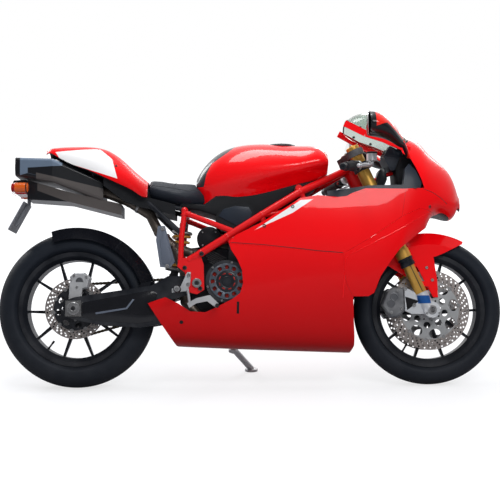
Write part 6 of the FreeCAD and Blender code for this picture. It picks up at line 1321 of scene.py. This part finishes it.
def add_running_gear():
    keep_piece(flat_piece(SHIELD_RIB, -131.6, -134.0, 1.2, 3), "shield_rib", "chassis", "blued_steel")
    add_screws("shield_bolts", [skin_place("heat_shield", -360, 628), skin_place("heat_shield", -343, 480)], 6.5, 6,
               nut=True)
    add_shock()
    keep_piece(with_mirrored(flat_piece(ARM_STRIP, -149.6, -152.0, 0.6)), "swingarm_strips", "chassis",
               "blued_steel")
    keep_piece(with_mirrored(flat_piece(ARM_PANEL, -149.4, -151.4, 0.9)), "swingarm_panels", "chassis",
               "black_gloss")
    add_turned("axle_washers", [(9, 0), (24, 0), (25, 1), (25, 3.4), (23.6, 4.6), (19, 4.6), (18, 3), (16, 3),
                                (15, 6), (10, 6), (9, 5)], 48, AXLE_ENDS, "bolt_steel")
    add_turned("axle_plugs", [(0, 0), (9.4, 0), (9.4, 2.4), (7.4, 3.4), (0, 3.4)], 28, AXLE_ENDS,
               "black_bolt")
    add_screws("chain_adjusters", [(mm(-752, side * 136, 315), BACK) for side in SIDES], 6, 6, nut=True)
    add_screws("rear_caliper_bolts", [skin_place("rear_caliper", x, z)
                                      for x, z in ((-712, 446), (-664, 440), (-700, 400))], 5.5, 4.5)
    add_turned("rear_piston_cap", piston_cap(15), 28, [skin_place("rear_caliper", -690, 424)],
               "caliper_grey")
    rubber = ribbed_profile([(11.2, 0), (14, 0), (14, 3)], [(12.4, 5), (12.4, 7), (14.2, 8), (14.2, 12)], 8, 8.5,
                            [(13, 76), (11.2, 76)])
    add_turned("footrest_rubbers", rubber, 20, [(mm(-300, -204, 384), RIGHT)], "grip_rubber",
               smooth=50, mirrored=True)
    add_turned("pedal_tips", [(0, 0), (7, 0), (8, 1), (8, 26), (7, 28), (0, 28)], 20,
               [(mm(-146, -196, 320), RIGHT)], "grip_rubber", mirrored=True)
    add_screws("hanger_bolts", skin_places("footrests", [(-256, 440), (-258, 404), (-300, 384)]), 7.5, 5)
    add_turned("pipe_clamps", [(20.2, 0), (23, 0), (23.6, 1), (23.6, 9), (23, 10), (20.2, 10)], 32, CLAMPED_PIPES,
               "bolt_steel")


# Tail, silencer, lamps, tank and seat

PLATE_TOP = mm(-916, 0, 748)
PLATE_DOWN = (mm(-976, 0, 640) - PLATE_TOP).normalized()
PLATE_FACING = Vector((PLATE_DOWN.z, 0, -PLATE_DOWN.x))
PLATE_BORDER = ((-86, 4, 86, 4), (-86, 126, 86, 126), (-86, 4, -86, 126), (86, 4, 86, 126))
LAMP_HOOD = [(-962, 836), (-914, 838), (-906, 832), (-918, 826), (-966, 826)]
LENS_RIBS = 7


def add_plate_border():
    """A wire along each rim of the blank plate, and its two nuts."""
    rim = []
    for *start, end_y, end_down in PLATE_BORDER:
        start, end = (PLATE_TOP * 1000 + PLATE_DOWN * down + Vector((0, y, 0)) + PLATE_FACING * 0.6
                      for y, down in (start, (end_y, end_down)))
        rim.append(bent_tube([start, start.lerp(end, 0.5), end], 1.4, 2, 2))
    keep_piece(join_pieces(rim), "plate_border", "chassis", "blued_steel")
    bolts = [(PLATE_TOP + PLATE_DOWN * 0.022 + LEFT * (side * 0.045) + PLATE_FACING * 0.0004, PLATE_FACING)
             for side in SIDES]
    add_screws("plate_bolts", bolts, 5.5, 3.2, nut=True)


def add_tail():
    add_turned("outlet_rims", [(22.5, 0), (27, 0), (28.5, 1.5), (28.5, 4), (26.4, 6), (24.4, 6), (23, 4), (23, -40),
                               (21, -40), (21, 0)], 44, [(mm(-949, side * 50, 887), BACK) for side in SIDES],
               "bolt_steel")
    add_screws("tail_screws", skin_places("tail_cowl", [(-546, 884)]), 5.6, 2.2, look="black_bolt")
    add_plate_border()
    ribs = []
    for index in range(LENS_RIBS):
        off_middle = abs(index - LENS_RIBS // 2)
        rib = soft_box((1.6, 96 - off_middle * 3, 1.6), 0.5, 1)
        rib.matrix_world = Matrix.Translation(mm(-973.6 + off_middle * 0.9, 0, 786 + index * 7))
        ribs.append(rib)
    keep_piece(join_pieces(ribs), "tail_lens_ribs", "chassis", "lens_red")
    keep_piece(flat_piece(LAMP_HOOD, -62, 62, 1.6), "tail_lamp_hood", "chassis", "black_plastic")


def add_indicators():
    add_turned("indicator_domes", [(20, 0), (19.4, 2.2), (16.5, 5), (11, 7), (5, 7.9), (0, 8.1)], 32,
               [(mm(-955.6, side * 112, 800), BACK) for side in SIDES], "lens_red", smooth=60)
    add_turned("indicator_rings", [(19.6, 0), (21.6, 0), (22, 0.6), (22, 3.4), (21.6, 4), (19.6, 4)], 36,
               [(mm(-900, side * 112, 800), BACK) for side in SIDES], "black_plastic")


FILLER_RIM = mm(120, 0, 974)
CAP_TOP = mm(120, 0, 982.3)


def add_tank_top():
    add_turned("filler_collar", [(54, -2), (60, -2), (61.5, 0), (61.5, 2.2), (60, 3.6), (55, 3.6), (54, 2.4)], 60,
               [(FILLER_RIM, UP)], "dark_casting")
    add_turned("cap_dome", [(0, 0), (38, 0), (39, 0.8), (38, 1.8), (30, 2.2), (29, 1.4), (14, 1.4), (13, 3.0),
                            (0, 3.4)], 52, [(CAP_TOP, UP)], "dark_casting", "fuel_cap")
    screws = [(CAP_TOP + turn_about("Z", 60 * index + 30) @ AHEAD * 0.0455, UP) for index in range(6)]
    add_screws("cap_screws", screws, 3.2, 1.8, "fuel_cap")
    keep_piece(copy_at(soft_box((5, 16, 2.4), 0.8, 2), [(CAP_TOP + UP * 0.0036, UP)]), "cap_key_cover", "fuel_cap",
               "bolt_steel")


SEAT_SHRINK = 0.0035
SEAT_VOXEL = 0.005
SEAT_SWELL = 0.007
SEAT_FRAMES = 20
SEAT_PRESSURE = 4
SEAT_HALF = 142
SEAT_FRONT, SEAT_BACK = -262, -380  # where the seat starts to narrow, upright x in millimetres
SEAM_SHARE = 0.80
SIDE_SEAM = [-404 + step * 8.2 for step in range(27)]
CROSS_SEAM = [-112 + step * 224 / 24 for step in range(25)]
SEAM_LIFT = 0.0002
CAST_HEIGHT = 900


def blow_up(pad):
    """Swells a piece as cloth under pressure, by no more than SEAT_SWELL anywhere."""
    rest = [v.co.copy() for v in pad.data.vertices]
    cloth = pad.modifiers.new("cloth", "CLOTH")
    cloth.settings.use_pressure = True
    cloth.settings.uniform_pressure_force = SEAT_PRESSURE
    cloth.settings.effector_weights.gravity = 0
    cloth.settings.quality = 4
    scene = bpy.context.scene
    for number in range(1, SEAT_FRAMES + 1):
        scene.frame_set(number)
    only(pad)
    bpy.ops.object.modifier_apply(modifier="cloth")
    scene.frame_set(1)
    for point, start in zip(pad.data.vertices, rest):
        moved = point.co - start
        if moved.length > SEAT_SWELL:
            point.co = start + moved.normalized() * SEAT_SWELL


def seat_half_width(x):
    """The seat's half width in millimetres: narrower towards the tank and at its rounded back end."""
    half = SEAT_HALF if x < SEAT_FRONT else SEAT_HALF - (x - SEAT_FRONT) * 0.80
    return min(half, 120 + (x + 416) * 0.6) if x < SEAT_BACK else half


def seam_down(tree, spots, radius):
    """A thread laid on a surface from above, along upright (x, y) spots."""
    line = []
    for x, y in spots:
        hit, normal, _, _ = tree.ray_cast(mm(x, y, CAST_HEIGHT), DOWN)
        if hit is not None:
            line.append((hit + normal * SEAM_LIFT) * 1000)
    return bent_tube(line, radius, 2, 3)


def add_seat():
    """The padded seat: a shrunken copy of its solid is remeshed, blown up a little as cloth, then seamed."""
    pad = duplicate(frame["nodes"]["seat_pad"], Matrix.Identity(4))
    pad.parent = None
    start_edit(pad)
    bpy.ops.mesh.select_all(action="SELECT")
    bpy.ops.mesh.remove_doubles(threshold=1e-5)
    bpy.ops.transform.shrink_fatten(value=-SEAT_SHRINK)
    end_edit()
    apply_change(pad, "REMESH", mode="VOXEL", voxel_size=SEAT_VOXEL)
    blow_up(pad)
    apply_change(pad, "SMOOTH", factor=0.6, iterations=4)
    apply_change(pad, "SUBSURF", levels=1, render_levels=1)
    pad.data.transform(PARKED_TO_UPRIGHT)
    keep_piece(pad, "seat_cushion", "chassis", "seat_vinyl", 80)
    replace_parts(pad, "seat_pad")
    tree = skin_tree(pad.data)
    seams = [seam_down(tree, [(x, side * seat_half_width(x) * SEAM_SHARE) for x in SIDE_SEAM], 1.15)
             for side in SIDES]
    keep_piece(join_pieces(seams), "seat_side_seam", "chassis", "thread_grey")
    seam = seam_down(tree, [(-300 - abs(y) * 0.16, y) for y in CROSS_SEAM], 1.1)
    keep_piece(seam, "seat_cross_seam", "chassis", "thread_grey")


add_camera()
bpy.context.scene.view_settings.view_transform = "Standard"
add_studio()
dress_nodes()
add_wheels()
add_chain()
add_fork()
add_controls()
add_dash()
add_front()
add_panel_joints()
add_engine()
add_running_gear()
add_tail()
add_indicators()
add_tank_top()
add_seat()
